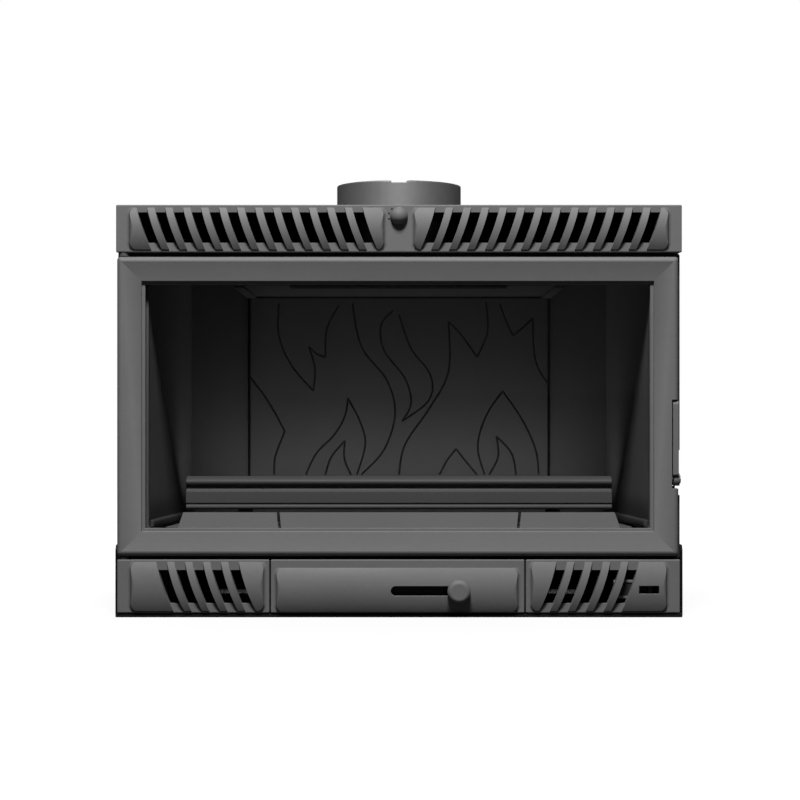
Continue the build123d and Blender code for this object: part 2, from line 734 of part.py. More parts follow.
def make_log_retainer():
    """Moulded bar across the hearth: a bead on top, a cove, a flat face and a lower bead."""
    back = bed_front + 27
    face = back - retainer_thickness
    z0 = bed_top + retainer_lift
    z1 = z0 + retainer_height
    lower, upper = 6.5, 7.0
    neck = face + 6
    moulding = (
        Line((back, z0), (face + 2, z0))
        + ThreePointArc((face + 2, z0), (face - 1, z0 + lower / 2), (face + 2, z0 + lower))
        + Line((face + 2, z0 + lower), (face + 2, z0 + lower + 1.5))
        + Line((face + 2, z0 + lower + 1.5), (face, z0 + lower + 1.5))
        + Line((face, z0 + lower + 1.5), (face, z0 + 23))
        + ThreePointArc((face, z0 + 23), (face + 4.2, z0 + 25), (neck, z0 + 29))
        + Line((neck, z0 + 29), (neck, z0 + 32))
        + ThreePointArc((neck, z0 + 32), (face, z0 + 32 + upper / 2), (neck, z0 + 32 + upper))
        + Line((neck, z0 + 32 + upper), (back, z1))
        + Line((back, z1), (back, z0)))
    half = half_width(back) - retainer_end_play
    bar = extrude(Plane.YZ.offset(-half) * make_face(moulding), 2 * half, dir=(1, 0, 0))
    for x in (-200, 200):
        bar += plate((x - 9, x + 9), (back - 12, back), (bed_top, z0 + 1))
    return bar


# ---- Baffle ---------------------------------------------------------------------------
def make_baffle():
    """Flame baffle whose notched front leaves the smoke throat between its two horns."""
    half, throat = baffle_width / 2, throat_width / 2
    edge = frame_back + throat_from_frame
    horn = edge - throat_depth
    outline = [(-half, horn), (-throat, horn), (-throat, edge), (throat, edge), (throat, horn),
               (half, horn), (half, wall_front), (-half, wall_front)]
    slab = prism_z(outline, baffle_bottom, baffle_bottom + baffle_thickness)
    bevel = [(edge - 1, baffle_bottom + baffle_edge), (edge + 9, baffle_bottom + baffle_thickness + 0.1),
             (edge - 1, baffle_bottom + baffle_thickness + 0.1)]
    return slab - prism_x(bevel, -throat, throat)


def make_baffle_rail(side):
    """Angle rail that hangs from the firebox top and carries one side of the baffle."""
    outer = side * (baffle_width / 2 + 0.5 + rail_thickness)
    web_inner = outer - side * rail_thickness
    y = (frame_back + throat_from_frame - throat_depth + 6, fireback_front - 2)
    web = plate((web_inner, outer), y, (baffle_bottom - rail_thickness, roof_bottom))
    foot = plate((outer, web_inner - side * rail_foot), y,
                 (baffle_bottom - rail_thickness, baffle_bottom))
    head = plate((outer, outer + side * 14), y, (roof_bottom - rail_thickness, roof_bottom))
    return web + foot + head


# ---- Flue collar and damper -----------------------------------------------------------
def make_flue_collar():
    """Spigot for the flue pipe, with a bolted flange and bosses for the damper's spindle."""
    flange = rod((0, collar_y, roof_top), (0, collar_y, roof_top + flange_thickness),
                 collar_radius + collar_flange)
    tube = rod((0, collar_y, roof_top), (0, collar_y, roof_top + collar_top), collar_radius)
    tube = fillet(tube.faces().sort_by(Axis.Z)[-1].edges(), 1.5)
    reach = collar_radius + spindle_boss_reach
    boss = rod((0, collar_y - reach, spindle_z), (0, collar_y + reach, spindle_z),
               spindle_boss_radius)
    body = flange + tube + boss
    top = roof_top + collar_top
    body -= rod((0, collar_y, roof_top - 1), (0, collar_y, top + 1), flue_throat / 2)
    body -= rod((0, collar_y, top - flue_socket), (0, collar_y, top + 1), flue_bore / 2)
    body -= rod((0, collar_y - 120, spindle_z), (0, collar_y + 120, spindle_z),
                spindle_radius + spindle_clearance)
    body -= plate((-collar_notch_width / 2, collar_notch_width / 2),
                  (collar_y - collar_radius - 5, collar_y - 60), (top - collar_notch_depth, top + 1))
    return body - [rod((x, y, roof_top - 1), (x, y, roof_top + flange_thickness + 1), flange_bolt)
                   for x, y in collar_bolt_points()]


def collar_bolt_points():
    radius = collar_radius + collar_flange - collar_bolt_inset
    return [(radius * math.cos(math.radians(turn)), collar_y + radius * math.sin(math.radians(turn)))
            for turn in (45, 135, 225, 315)]


def make_collar_bolts():
    """Hexagon-head bolts that clamp the collar's flange to the firebox top."""
    bolts = []
    for x, y in collar_bolt_points():
        seat = roof_top + flange_thickness
        head = hex_head((x, y, seat), (0, 0, -1), flange_bolt_head, flange_bolt_height)
        bolts.append(head + rod((x, y, roof_top), (x, y, seat), flange_bolt))
    return Compound(children=bolts)


def spindle_front():
    """The spindle's front end, inside the knob."""
    return front - 3.0


def make_damper_spindle():
    end = collar_y + collar_radius + spindle_boss_reach + 7
    return rod((0, spindle_front(), spindle_z), (0, end, spindle_z), spindle_radius)


def make_damper_flap():
    """Butterfly plate with two flat sides, carried by a tube on the spindle."""
    z0 = spindle_z - flap_thickness / 2
    reach, half = flap_radius - 12, flap_radius - flap_flat
    y_low, y_high = collar_y - flap_radius - 1, collar_y + flap_radius + 1
    disc = rod((0, collar_y, z0), (0, collar_y, z0 + flap_thickness), flap_radius)
    disc &= plate((-half, half), (y_low, y_high), (z0 - 1, z0 + flap_thickness + 1))
    tube = rod((0, collar_y - reach, spindle_z), (0, collar_y + reach, spindle_z), spindle_boss_radius)
    bore = rod((0, y_low, spindle_z), (0, y_high, spindle_z), spindle_radius + flap_bore_play)
    pilots = [rod((0, y, spindle_z + 3), (0, y, spindle_z + 12), 2) for y in set_screw_rows()]
    return disc + tube - bore - pilots


def set_screw_rows():
    return collar_y - flap_screw_offset, collar_y + flap_screw_offset


def make_damper_set_screws():
    base = spindle_z + spindle_radius + 0.1
    return Compound(children=[rod((0, y, base), (0, y, base + 6), 2) for y in set_screw_rows()])


def make_spindle_clip():
    """Spring ring that keeps the spindle in the collar, behind the rear boss."""
    y0 = collar_y + collar_radius + spindle_boss_reach + 0.3
    ring = rod((0, y0, spindle_z), (0, y0 + 1.2, spindle_z), spindle_boss_radius)
    ring -= rod((0, y0 - 1, spindle_z), (0, y0 + 3, spindle_z), spindle_radius)
    return ring - plate((-2.5, 2.5), (y0 - 1, y0 + 3), (spindle_z - 12, spindle_z))


def make_damper_knob():
    """Knob with a ball-shaped face, turned from one outline, with a blind hole for the spindle."""
    root, tip, r = front - 0.4, front - damper_knob_height, damper_knob_radius
    seat, rim = spindle_front(), root - 2
    ball = (r ** 2 + (rim - tip) ** 2) / (2 * (rim - tip))
    half_turn = math.asin(r / ball) / 2
    knee = (ball * math.sin(half_turn), tip + ball * (1 - math.cos(half_turn)))
    outline = make_face(
        Line((spindle_radius, root), (r - 1, root)) + Line((r - 1, root), (r, rim))
        + ThreePointArc((r, rim), knee, (0, tip)) + Line((0, tip), (0, seat))
        + Line((0, seat), (spindle_radius, seat)) + Line((spindle_radius, seat), (spindle_radius, root)))
    return Pos(0, 0, spindle_z) * revolve(outline, Axis.Y)


# ---- Grilles --------------------------------------------------------------------------
def make_hood():
    """Top grille: two bowed fields of slanted arched ribs on one plate with folded edges."""
    body = plate((-half_front, half_front), (front, land_back), (hood_bottom, hood_top))
    body = fillet(body.edges().filter_by(Axis.Y) + body.faces().sort_by(Axis.Y)[0].edges(),
                  plate_corner)
    back = frame_back
    for low in (hood_bottom, hood_top - hood_return_thickness):
        body += plate((-half_front + 2, half_front - 2), (land_back - 1, back),
                      (low, low + hood_return_thickness))
    for side in (-1, 1):
        outer = side * half_front
        body += plate((outer, outer - side * hood_return_thickness), (land_back - 1, back),
                      (hood_bottom + 2, hood_top - 2))
    z0, z1 = hood_bottom + hood_field_foot, hood_top - hood_field_head
    span = (hood_slots - 1) * slot_pitch + slot_width
    inner = hood_field_middle + hood_slot_middle
    for side in (-1, 1):
        x = sorted((side * (half_front - hood_field_side), side * hood_field_middle))
        first = inner if side > 0 else -inner - span
        ribs, slots = ribbed_field(x[0], x[1], z0, z1, first, side, hood_slots,
                                   hood_slot_foot, hood_slot_head)
        body = body + ribs - slots
    body += rod((0, front + 1, spindle_z), (0, land_back + 6, spindle_z), 10)
    return body - rod((0, front - 1, spindle_z), (0, land_back + 8, spindle_z),
                      spindle_radius + spindle_clearance)


def lower_plate(x_low, x_high, side):
    """A lower grille, left (-1) or right (1), with its field, slots and folded edges."""
    body = plate((x_low, x_high), (front, land_back), (row_bottom, row_top))
    body = fillet(body.edges().filter_by(Axis.Y) + body.faces().sort_by(Axis.Y)[0].edges(),
                  plate_corner)
    field = sorted((side * (abs(x_high if side > 0 else x_low) - row_field_outer),
                    (x_low + row_field_inner) if side > 0 else (x_high - row_field_inner)))
    z0, z1 = row_bottom + row_field_foot, row_top - row_field_head
    span = (row_slots - 1) * slot_pitch + slot_width
    first = field[0] + row_slot_inner if side > 0 else field[1] - row_slot_inner - span
    ribs, slots = ribbed_field(field[0], field[1], z0, z1, first, side, row_slots,
                               row_slot_foot, row_slot_head)
    body = body + ribs - slots
    back = land_back + row_return
    body += plate((x_low + 2, x_high - 2), (land_back - 1, back), (row_top - 4, row_top))
    return body + plate((x_low + 2, x_high - 2), (land_back - 1, back),
                        (base_thickness, row_bottom + 3))


def tongue_window():
    """Low and high sides of the little window of the secondary air slide."""
    x1 = row_right - tongue_window_side
    z0 = row_bottom + tongue_window_foot
    return (x1 - tongue_window_width, x1), (z0, z0 + tongue_window_height)


def make_lower_right_grille():
    """Lower right grille with the window of the secondary air slide and its two rails."""
    body = lower_plate(drawer_right + row_gap, row_right, 1)
    x, z = tongue_window()
    body -= plate(x, (front - 10, land_back + 1), z)
    for z_rail, way in ((z[0] - 3, -1), (z[1] + 3, 1)):
        edge = z_rail + way * slide_play
        lip = land_back + slide_thickness + 2 * slide_play
        body += plate((x[0] - 30, x[1] + 20), (land_back - 1, lip), (edge, edge + way * 3))
        body += plate((x[0] - 30, x[1] + 20), (lip, lip + 2), (edge - way * 2.5, edge + way * 3))
    return body


def make_secondary_slide():
    """Flat tongue behind the window. It shows two thirds of its way across at rest."""
    x, z = tongue_window()
    y0 = land_back + slide_play
    tip = x[0] + tongue_window_width * 0.68
    tongue = plate((x[0] - 22, tip), (y0, y0 + slide_thickness), (z[0] - 3, z[1] + 3))
    stub = plate((tip - 5, tip), (front - 1, y0 + 1), (z[0] + 1.2, z[1] - 1.2))
    return tongue + stub


# ---- Door -----------------------------------------------------------------------------
def make_door_frame():
    """Picture-frame casting: rounded rim, faces that slope in to the glass, mitred corners."""
    body = plate((door_left, door_right), (door_front, door_back), (door_bottom, door_top))
    body = fillet(body.edges().filter_by(Axis.Y), 4)
    body = fillet(body.faces().sort_by(Axis.Y)[0].edges(), rim_radius)
    middle_z = (door_bottom + door_top) / 2
    slope = math.degrees(math.atan((bar_width - rim_radius) / bar_fall))
    mouth = Rectangle(door_width - 2 * rim_radius, door_height - 2 * rim_radius)
    splay = extrude(Plane(origin=(door_middle, door_front, middle_z), x_dir=(1, 0, 0), z_dir=(0, 1, 0))
                    * mouth, bar_fall, taper=slope)
    body -= splay
    lip_y = door_front + bar_fall + lip_step
    body -= glass_hole(bar_width, door_front - 1, lip_y)
    body -= glass_hole(bar_width + glass_lip, door_front - 1, door_back + 1)
    body -= glass_hole(bar_width + glass_lip - glass_overlap - glass_play, lip_y + lip_thickness,
                       door_back + 1)
    body -= make_seal_ring(seal_diameter / 2 + 0.3, seal_diameter / 2 + 0.3)
    notch = plate((door_right - latch_notch_depth, door_right + 5), (door_front - 1, door_back + 1),
                  (door_bottom + latch_notch_foot, door_bottom + latch_notch_foot + latch_notch_height))
    body -= notch
    for low, high in ((door_bottom - 1, door_bottom + hinge_engagement),
                      (door_top - hinge_engagement, door_top + 1)):
        body -= rod((hinge_x, hinge_y, low), (hinge_x, hinge_y, high),
                    hinge_pin_radius + hinge_clearance)
    return body - rod((door_right - 24, latch_y, latch_z), (door_right, latch_y, latch_z),
                      latch_pin_radius)


def glass_hole(inset, y_low, y_high):
    """A rectangular hole in the door, a given distance inside its edges."""
    return plate((door_left + inset, door_right - inset), (y_low, y_high),
                 (door_bottom + inset, door_top - inset))


def make_seal_ring(half_wide, half_deep):
    """Rectangular ring on the seal's centre line, used for the groove in the door's back."""
    seal_y = frame_front - seal_squeeze - seal_diameter / 2
    x_low, x_high = door_left + seal_inset, door_right - seal_inset
    z_low, z_high = door_bottom + seal_inset, door_top - seal_inset
    outer = ring_path(x_low - half_wide, x_high + half_wide, z_low - half_wide, z_high + half_wide,
                      seal_corner + half_wide, seal_y - half_deep)
    inner = ring_path(x_low + half_wide, x_high - half_wide, z_low + half_wide, z_high - half_wide,
                      seal_corner - half_wide, seal_y - half_deep)
    return extrude(outer - inner, -(frame_front - seal_y + half_deep))


def make_door_seal():
    """Round fibre rope in the groove of the door's back: four straight runs and four corners."""
    y = frame_front - seal_squeeze - seal_diameter / 2
    x = (door_left + seal_inset, door_right - seal_inset)
    z = (door_bottom + seal_inset, door_top - seal_inset)
    inner_x, inner_z = (x[0] + seal_corner, x[1] - seal_corner), (z[0] + seal_corner, z[1] - seal_corner)
    rope = [rod((inner_x[0], y, level), (inner_x[1], y, level), seal_diameter / 2) for level in z]
    rope += [rod((side, y, inner_z[0]), (side, y, inner_z[1]), seal_diameter / 2) for side in x]
    corners = ((1, 0, 0), (1, 1, 90), (0, 1, 180), (0, 0, 270))
    for column, row, turn in corners:
        bend = revolve(Plane.XY * Pos(seal_corner, 0) * Circle(seal_diameter / 2), Axis.Y, 90)
        rope.append(Pos(inner_x[column], y, inner_z[row]) * Rot(0, -turn, 0) * bend)
    return Part() + rope


def glass_front():
    return door_front + bar_fall + lip_step + lip_thickness + gasket_thickness


def make_door_glass():
    inset = bar_width + glass_lip - glass_overlap
    slab = glass_hole(inset, glass_front(), glass_front() + glass_thickness)
    return fillet(slab.edges().filter_by(Axis.Y), 3)


def make_glass_gasket():
    inset = bar_width + glass_lip - glass_overlap
    y0 = glass_front() - gasket_thickness
    return (glass_hole(inset, y0, glass_front())
            - glass_hole(bar_width + glass_lip, y0 - 1, glass_front() + 1))


def clip_inset():
    """The clips' screws from the door's edges, beside the recess of the glass."""
    return bar_width + glass_lip - glass_overlap - glass_play - 4.2


def clip_places():
    """Screw points of the glass clips, with the direction from each towards the glass."""
    x = (door_left + clip_inset(), door_right - clip_inset())
    z = (door_bottom + clip_inset(), door_top - clip_inset())
    places = [(door_middle + share * door_width, z[0], (0, 1)) for share in (-0.3, 0.3)]
    places += [(door_middle + share * door_width, z[1], (0, -1)) for share in (-0.3, 0.3)]
    for share in (-0.25, 0.25):
        height = (door_bottom + door_top) / 2 + share * door_height
        places += [(x[0], height, (1, 0)), (x[1], height, (-1, 0))]
    return places


def make_glass_clips():
    """Cranked sheet clips that press the glass against its gasket."""
    glass_back = glass_front() + glass_thickness
    tip = bar_width + glass_lip - clip_hold - clip_inset()
    bend = tip - glass_overlap / 2
    section = [(-clip_foot, door_back), (bend, door_back), (bend, glass_back), (tip, glass_back),
               (tip, glass_back + clip_sheet), (bend + clip_sheet, glass_back + clip_sheet),
               (bend + clip_sheet, door_back + clip_sheet), (-clip_foot, door_back + clip_sheet)]
    face = make_face(Polyline(*section, close=True))
    bar = extrude(Plane(origin=(0, 0, 0), x_dir=(1, 0, 0), z_dir=(0, 0, 1)) * face,
                  clip_width / 2, both=True)
    return Compound(children=[
        Pos(x, 0, z) * Rot(0, -math.degrees(math.atan2(way[1], way[0])), 0) * bar
        for x, z, way in clip_places()])


def make_glass_clip_screws():
    y = door_back + clip_sheet
    return Compound(children=[hex_head((x, y, z), (0, -1, 0), clip_screw_head, clip_screw_height)
                              for x, z, way in clip_places()])


# ---- Latch ----------------------------------------------------------------------------
def make_latch_lever():
    """Flush lever in the notch of the door's free edge, with the hook behind its pivot."""
    x0 = door_right - latch_notch_depth + latch_side_play
    front_y = door_front + 1.0
    back_y = front_y + latch_bar_depth
    top = latch_z + latch_reach
    bar = make_face(
        Line((latch_y, latch_z), (front_y, latch_z + 6)) + Line((front_y, latch_z + 6), (front_y, top - 5))
        + ThreePointArc((front_y, top - 5), (front_y + 1.5, top - 1.5), (front_y + 5, top))
        + Line((front_y + 5, top), (back_y - 5, top)) + Line((back_y - 5, top), (back_y, latch_z + 40))
        + Line((back_y, latch_z + 40), (latch_y + latch_boss_radius, latch_z))
        + Line((latch_y + latch_boss_radius, latch_z), (latch_y, latch_z)))
    lever = extrude(Plane.YZ.offset(x0) * bar, latch_bar_width, dir=(1, 0, 0))
    boss = rod((x0 + 1.5, latch_y, latch_z), (x0 + 1.5 + latch_boss_width, latch_y, latch_z),
               latch_boss_radius)
    back = latch_y + hook_depth
    hook = [(latch_y, latch_z + 5), (back - 3, latch_z + 5), (back, latch_z + 2),
            (back, latch_z - hook_drop + 1.5), (back - 2, latch_z - hook_drop),
            (back - 7, latch_z - hook_drop), (back - 9, latch_z - 4), (latch_y, latch_z - 4)]
    lever += boss
    lever += prism_x(hook, x0 + 1.5, x0 + latch_bar_width)
    return lever - rod((x0 - 1, latch_y, latch_z), (x0 + 20, latch_y, latch_z),
                       latch_pin_radius + latch_pin_clearance)


def make_latch_pivot():
    """Headed pin in the door's edge, on which the lever turns."""
    x0 = door_right - latch_notch_depth + latch_side_play
    end = x0 + 1.5 + latch_boss_width
    pin = rod((door_right - 24, latch_y, latch_z), (end + 0.2, latch_y, latch_z), latch_pin_radius)
    return pin + rod((end + 0.2, latch_y, latch_z), (end + 1.4, latch_y, latch_z), latch_pin_radius + 2)


# ---- Ash drawer -----------------------------------------------------------------------
def air_slot_z():
    middle = row_bottom + air_slot_centre
    return middle - air_slot_height / 2, middle + air_slot_height / 2


def air_knob_x():
    return drawer_middle + air_knob_offset


def make_ash_drawer_front():
    """Bowed drawer front with the slot of the primary air slide."""
    body = plate((drawer_left, drawer_right), (front, land_back), (row_bottom, row_top))
    body = fillet(body.edges().filter_by(Axis.Y) + body.faces().sort_by(Axis.Y)[0].edges(),
                  plate_corner)
    body += pillow(drawer_left + drawer_field_left, drawer_right - drawer_field_right,
                   row_bottom + drawer_field_foot, row_top - drawer_field_head)
    low, high = air_slot_z()
    neck = air_slot_height / 2
    x0, x1 = air_knob_x() - air_travel, air_knob_x()
    slot = plate((x0, x1), (front - 10, land_back + 1), (low, high))
    for x in (x0, x1):
        slot += rod((x, front - 10, (low + high) / 2), (x, land_back + 1, (low + high) / 2), neck)
    body -= slot
    for x in pan_lug_rows():
        body += plate((x - 9, x + 9), (land_back - 1, pan_front()), (row_bottom + 4, row_bottom + 16))
    return body


def pan_front():
    return land_back + 7.0


def pan_length():
    return grate_y + grate_depth / 2 + pan_past_grate - pan_front()


def pan_lug_rows():
    return drawer_left + 22, drawer_right - 22


def make_ash_pan():
    """Folded sheet pan with a low front wall, so that primary air passes over it."""
    x = (drawer_left + pan_side_inset, drawer_right - pan_side_inset)
    y = (pan_front(), pan_front() + pan_length())
    z0 = base_thickness + sheet + pan_play
    z1 = z0 + pan_height
    outer = plate(x, y, (z0, z1))
    outer = fillet(outer.edges().filter_by(Axis.Z), 5)
    inner = plate((x[0] + pan_wall, x[1] - pan_wall), (y[0] + pan_wall, y[1] - pan_wall),
                  (z0 + pan_wall, z1 + 1))
    inner = fillet(inner.edges().filter_by(Axis.Z), 5 - pan_wall)
    low_front = plate((x[0] + 12, x[1] - 12), (y[0] - 1, y[0] + 6), (z0 + pan_front_height, z1 + 1))
    return outer - inner - low_front


def make_drawer_screws():
    y = pan_front() + pan_wall
    z = row_bottom + 11
    return Compound(children=[hex_head((x, y, z), (0, -1, 0), screw_head, screw_head_height)
                              for x in pan_lug_rows()])


def make_slider_guides():
    """Two grooved rails behind the drawer front, in which the air slide runs."""
    low, high = air_slot_z()
    ends = (air_knob_x() - air_travel - 98, air_knob_x() + 34)
    lip = land_back + slide_thickness + 2 * slide_play
    rails = []
    for edge, way in ((low - 5 - slide_play, -1), (high + 5 + slide_play, 1)):
        section = [(land_back, edge), (lip, edge), (lip, edge - way * 3), (lip + 1.5, edge - way * 3),
                   (lip + 1.5, edge + way * 4), (land_back, edge + way * 4)]
        rails.append(prism_x(section, ends[0], ends[1]))
    return Compound(children=rails)


def make_air_slide():
    """Flat shutter behind the slot. Drawn to the left, it opens the slot to the ash space."""
    low, high = air_slot_z()
    y0 = land_back + slide_play
    x0, x1 = air_knob_x() - air_travel - 13, air_knob_x() + 16
    shutter = plate((x0, x1), (y0, y0 + slide_thickness), (low - 5, high + 5))
    shutter = fillet(shutter.edges().filter_by(Axis.Y), 2)
    middle = (low + high) / 2
    return shutter - rod((air_knob_x(), y0 - 1, middle), (air_knob_x(), y0 + 5, middle), 3)


def make_air_knob():
    """Round knob on a neck that passes through the slot, turned from one outline."""
    middle = sum(air_slot_z()) / 2
    face, r, neck = front - pillow_rise - 0.6, air_knob_radius, air_neck_radius
    root = land_back + slide_play
    tip = face - air_knob_height
    outline = make_face(
        Line((0, root), (neck, root)) + Line((neck, root), (neck, face))
        + Line((neck, face), (r - 1.5, face))
        + ThreePointArc((r - 1.5, face), (r - 0.4, face - 0.4), (r, face - 1.5))
        + Line((r, face - 1.5), (r, tip + 5))
        + ThreePointArc((r, tip + 5), (r - 1.6, tip + 1.6), (r - 5, tip))
        + Line((r - 5, tip), (0, tip)) + Line((0, tip), (0, root)))
    turned = revolve(outline, Axis.Y)
    rivet = rod((0, root - 1, 0), (0, root + slide_thickness + 0.8, 0), 2.95)
    return Pos(air_knob_x(), 0, middle) * (turned + rivet)


def make_drawer_guide(side):
    """Upright sheet between the ash space and the convection air. Its folded foot is the
    runner that the pan slides on."""
    edge = drawer_left if side < 0 else drawer_right
    inner = edge - side * (pan_side_inset - guide_clearance)
    outer = inner + side * sheet
    y = (land_back + row_return + 1, pan_front() + pan_length() + 6)
    wall = plate((inner, outer), y, (base_thickness, floor_bottom))
    return wall + plate((outer, inner - side * runner_width), y, (base_thickness, base_thickness + sheet))


def make_drawer_stop():
    """Back of the ash space, against which the pan stops."""
    inset = pan_side_inset - guide_clearance
    y0 = pan_front() + pan_length() + 4
    return plate((drawer_left + inset + 0.2, drawer_right - inset - 0.2), (y0, y0 + sheet),
                 (base_thickness + sheet, floor_bottom))


# ---- Everything together --------------------------------------------------------------
def build_parts():
    ledge_left, ledge_middle, ledge_right = make_hearth_ledges()
    return {
        "base_plate": make_base_plate(),
        "body_legs": make_body_legs(),
        "side_skirt_left": make_side_skirt(-1),
        "side_skirt_right": make_side_skirt(1),
        "firebox_floor": make_firebox_floor(),
        "firebox_side_left": make_firebox_side(-1),
        "firebox_side_right": make_firebox_side(1),
        "firebox_back": make_firebox_back(),
        "firebox_top": make_firebox_top(),
        "front_frame": make_front_frame(),
        "side_liner_left": make_side_liner(-1),
        "side_liner_right": make_side_liner(1),
        "fireback_plate": make_fireback(),
        "back_panel_left": make_back_panel(-1),
        "back_panel_right": make_back_panel(1),
        "baffle_plate": make_baffle(),
        "baffle_rail_left": make_baffle_rail(-1),
        "baffle_rail_right": make_baffle_rail(1),
        "hearth_ledge_left": ledge_left,
        "hearth_ledge_middle": ledge_middle,
        "hearth_ledge_right": ledge_right,
        "hearth_bed": make_hearth_bed(),
        "fire_grate": make_fire_grate(),
        "log_retainer": make_log_retainer(),
        "flue_collar": make_flue_collar(),
        "collar_bolts": make_collar_bolts(),
        "collar_ring": drill_for_screws(make_collar_ring(), ring_screw_points(), (0, 0, -1)),
        "hood_grille": make_hood(),
        "lower_left_grille": lower_plate(row_left, drawer_left - row_gap, -1),
        "lower_right_grille": make_lower_right_grille(),
        "casing_left": drill_for_screws(make_casing_side(-1), casing_screw_points(), (0, -1, 0)),
        "casing_right": drill_for_screws(make_casing_side(1), casing_screw_points(), (0, -1, 0)),
        "casing_back": drill_for_screws(make_casing_back(), casing_screw_points(), (0, -1, 0)),
        "casing_top": drill_for_screws(make_casing_top(), ring_screw_points(), (0, 0, -1)),
        "casing_screws": make_casing_screws(),
        "drawer_guide_left": make_drawer_guide(-1),
        "drawer_guide_right": make_drawer_guide(1),
        "drawer_stop": make_drawer_stop(),
        "hinge_pins": make_hinge_pins(),
        "catch_spring": make_catch_spring(),
        "damper_knob": make_damper_knob(),
        "damper_spindle": make_damper_spindle(),
        "damper_flap": make_damper_flap(),
        "damper_set_screws": make_damper_set_screws(),
        "spindle_clip": make_spindle_clip(),
        "door_frame": make_door_frame(),
        "door_glass": make_door_glass(),
        "glass_gasket": make_glass_gasket(),
        "glass_clips": make_glass_clips(),
        "glass_clip_screws": make_glass_clip_screws(),
        "door_seal": make_door_seal(),
        "latch_lever": make_latch_lever(),
        "latch_pivot": make_latch_pivot(),
        "ash_drawer_front": make_ash_drawer_front(),
        "ash_pan": make_ash_pan(),
        "drawer_screws": make_drawer_screws(),
        "slider_guides": make_slider_guides(),
        "air_slide": make_air_slide(),
        "air_knob": make_air_knob(),
        "secondary_air_slide": make_secondary_slide(),
    }


if __name__ == "__main__":
    os.makedirs("parts", exist_ok=True)
    for node, shape in build_parts().items():
        export_step(shape, f"parts/{node}.step")
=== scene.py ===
import json
import math

import bmesh
import bpy
from bpy.props import FloatProperty, FloatVectorProperty, IntProperty, PointerProperty
from mathutils import Matrix, Vector


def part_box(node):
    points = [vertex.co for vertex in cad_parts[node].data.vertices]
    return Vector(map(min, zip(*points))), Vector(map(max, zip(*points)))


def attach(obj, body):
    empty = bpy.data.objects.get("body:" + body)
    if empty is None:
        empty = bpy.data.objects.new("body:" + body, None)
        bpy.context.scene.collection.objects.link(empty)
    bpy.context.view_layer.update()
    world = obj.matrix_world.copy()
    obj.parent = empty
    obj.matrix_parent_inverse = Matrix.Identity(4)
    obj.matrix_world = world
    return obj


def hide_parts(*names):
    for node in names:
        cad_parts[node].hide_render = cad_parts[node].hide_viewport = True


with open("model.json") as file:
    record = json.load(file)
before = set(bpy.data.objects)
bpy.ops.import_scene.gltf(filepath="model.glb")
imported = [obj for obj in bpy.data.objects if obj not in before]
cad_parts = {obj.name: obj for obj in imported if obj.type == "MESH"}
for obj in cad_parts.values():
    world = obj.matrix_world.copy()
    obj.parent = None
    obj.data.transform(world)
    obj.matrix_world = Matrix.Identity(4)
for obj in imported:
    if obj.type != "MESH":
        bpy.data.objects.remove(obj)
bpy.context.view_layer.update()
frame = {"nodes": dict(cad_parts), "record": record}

bl_info = {
    "name": "Fireplace insert looks",
    "version": (1, 0, 0),
    "blender": (4, 5, 0),
    "location": "View3D > Sidebar > Fireplace",
    "description": "Castings, glass, seals and finishes of a cast-iron fireplace insert",
    "category": "Object",
}

# Metres throughout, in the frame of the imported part: X to the right, Y to the back, Z up.
# The front stands at low Y.
FRONT_LANDS = -0.215         # plane of the front castings' ground
SEAL_CORNER = 0.022          # radius of the seal's centre line in the door's corners
CORNER_STEPS = 8             # of the seal's path round a corner
ROPE_REACH = 0.44            # of a strand's centre line from the rope's, as a share of the rope's radius
STRAND_RADIUS = 0.56         # as a share of the rope's radius
INDEX_DOTS = ((-0.0086, 0.5052), (-0.0123, 0.4996), (-0.0123, 0.4928))     # X and Z of each
DOT_RADIUS = 0.0012
DOT_RISE = 0.00008           # of the dots' paint above the hood's ground
FLAME_FOOT = 0.088           # from the fireback's lower edge up to the feet of its flames
GROOVE_SHADE = (0.0001, 0.0005)     # depths in the flame lines where painted shade starts and is full
SHADE_BAND = 0.03             # height over which the liners' painted shade fades
HEAD_SHOULDER = 0.72         # share of a bolt head's height below its chamfer
HEAD_TOP = 0.86              # a bolt head's width above its chamfer, as a share of that below
FLANGE_HEIGHT = 0.25         # as a share of the bolt head's
SHANK_LENGTH = 0.002         # of the short stretch of a bolt that is drawn under its head
SHANK_OVERLAP = 0.0001       # of that stretch with the head

# How a CAD node's mesh is rounded and shaded.
MERGE = 2e-6                 # vertices closer than this are one
FLAT = math.radians(0.8)     # faces that lie within this angle are one plane
SHARP = math.radians(32)     # edges sharper than this get a rounded arris and a crease in shading
MITRE = math.radians(12)     # crease on the pieces whose blunt edges stay crisp
STRAND_CREASE = math.radians(70)
ARRIS_SEGMENTS = 2
ROUNDING_TRIES = (1.0, 0.6, 0.35, 0.15)     # shares of the wanted rounding, tried in turn
SAME_LINE = 0.8              # cosine from which the next edge is the same line round a bend
ROOM_SHARED = 0.4            # share of the room that one of two rounded neighbours may take
ROOM_ALONE = 0.8             # share of the room beside a neighbour that isn't rounded
LEAST_ROOM = 0.00002
SPIKE = 0.0004               # a rounded corner that reaches further out of its node's box is refused
AREA_KEPT = (0.85, 1.03)     # range of a rounded mesh's area, as a share of its node's
FACE_WEIGHT = 90             # how far large faces keep their own normals, of 100

BODY_OF = {name: body for body, names in frame["record"]["behaviour"]["bodies"].items()
           for name in names}


# ---- Sizes, colours and lights that can be set -----------------------------------------
LENGTH = {"subtype": "DISTANCE", "unit": "LENGTH"}
COLOUR = {"size": 3, "min": 0.0, "max": 1.0, "subtype": "COLOR"}


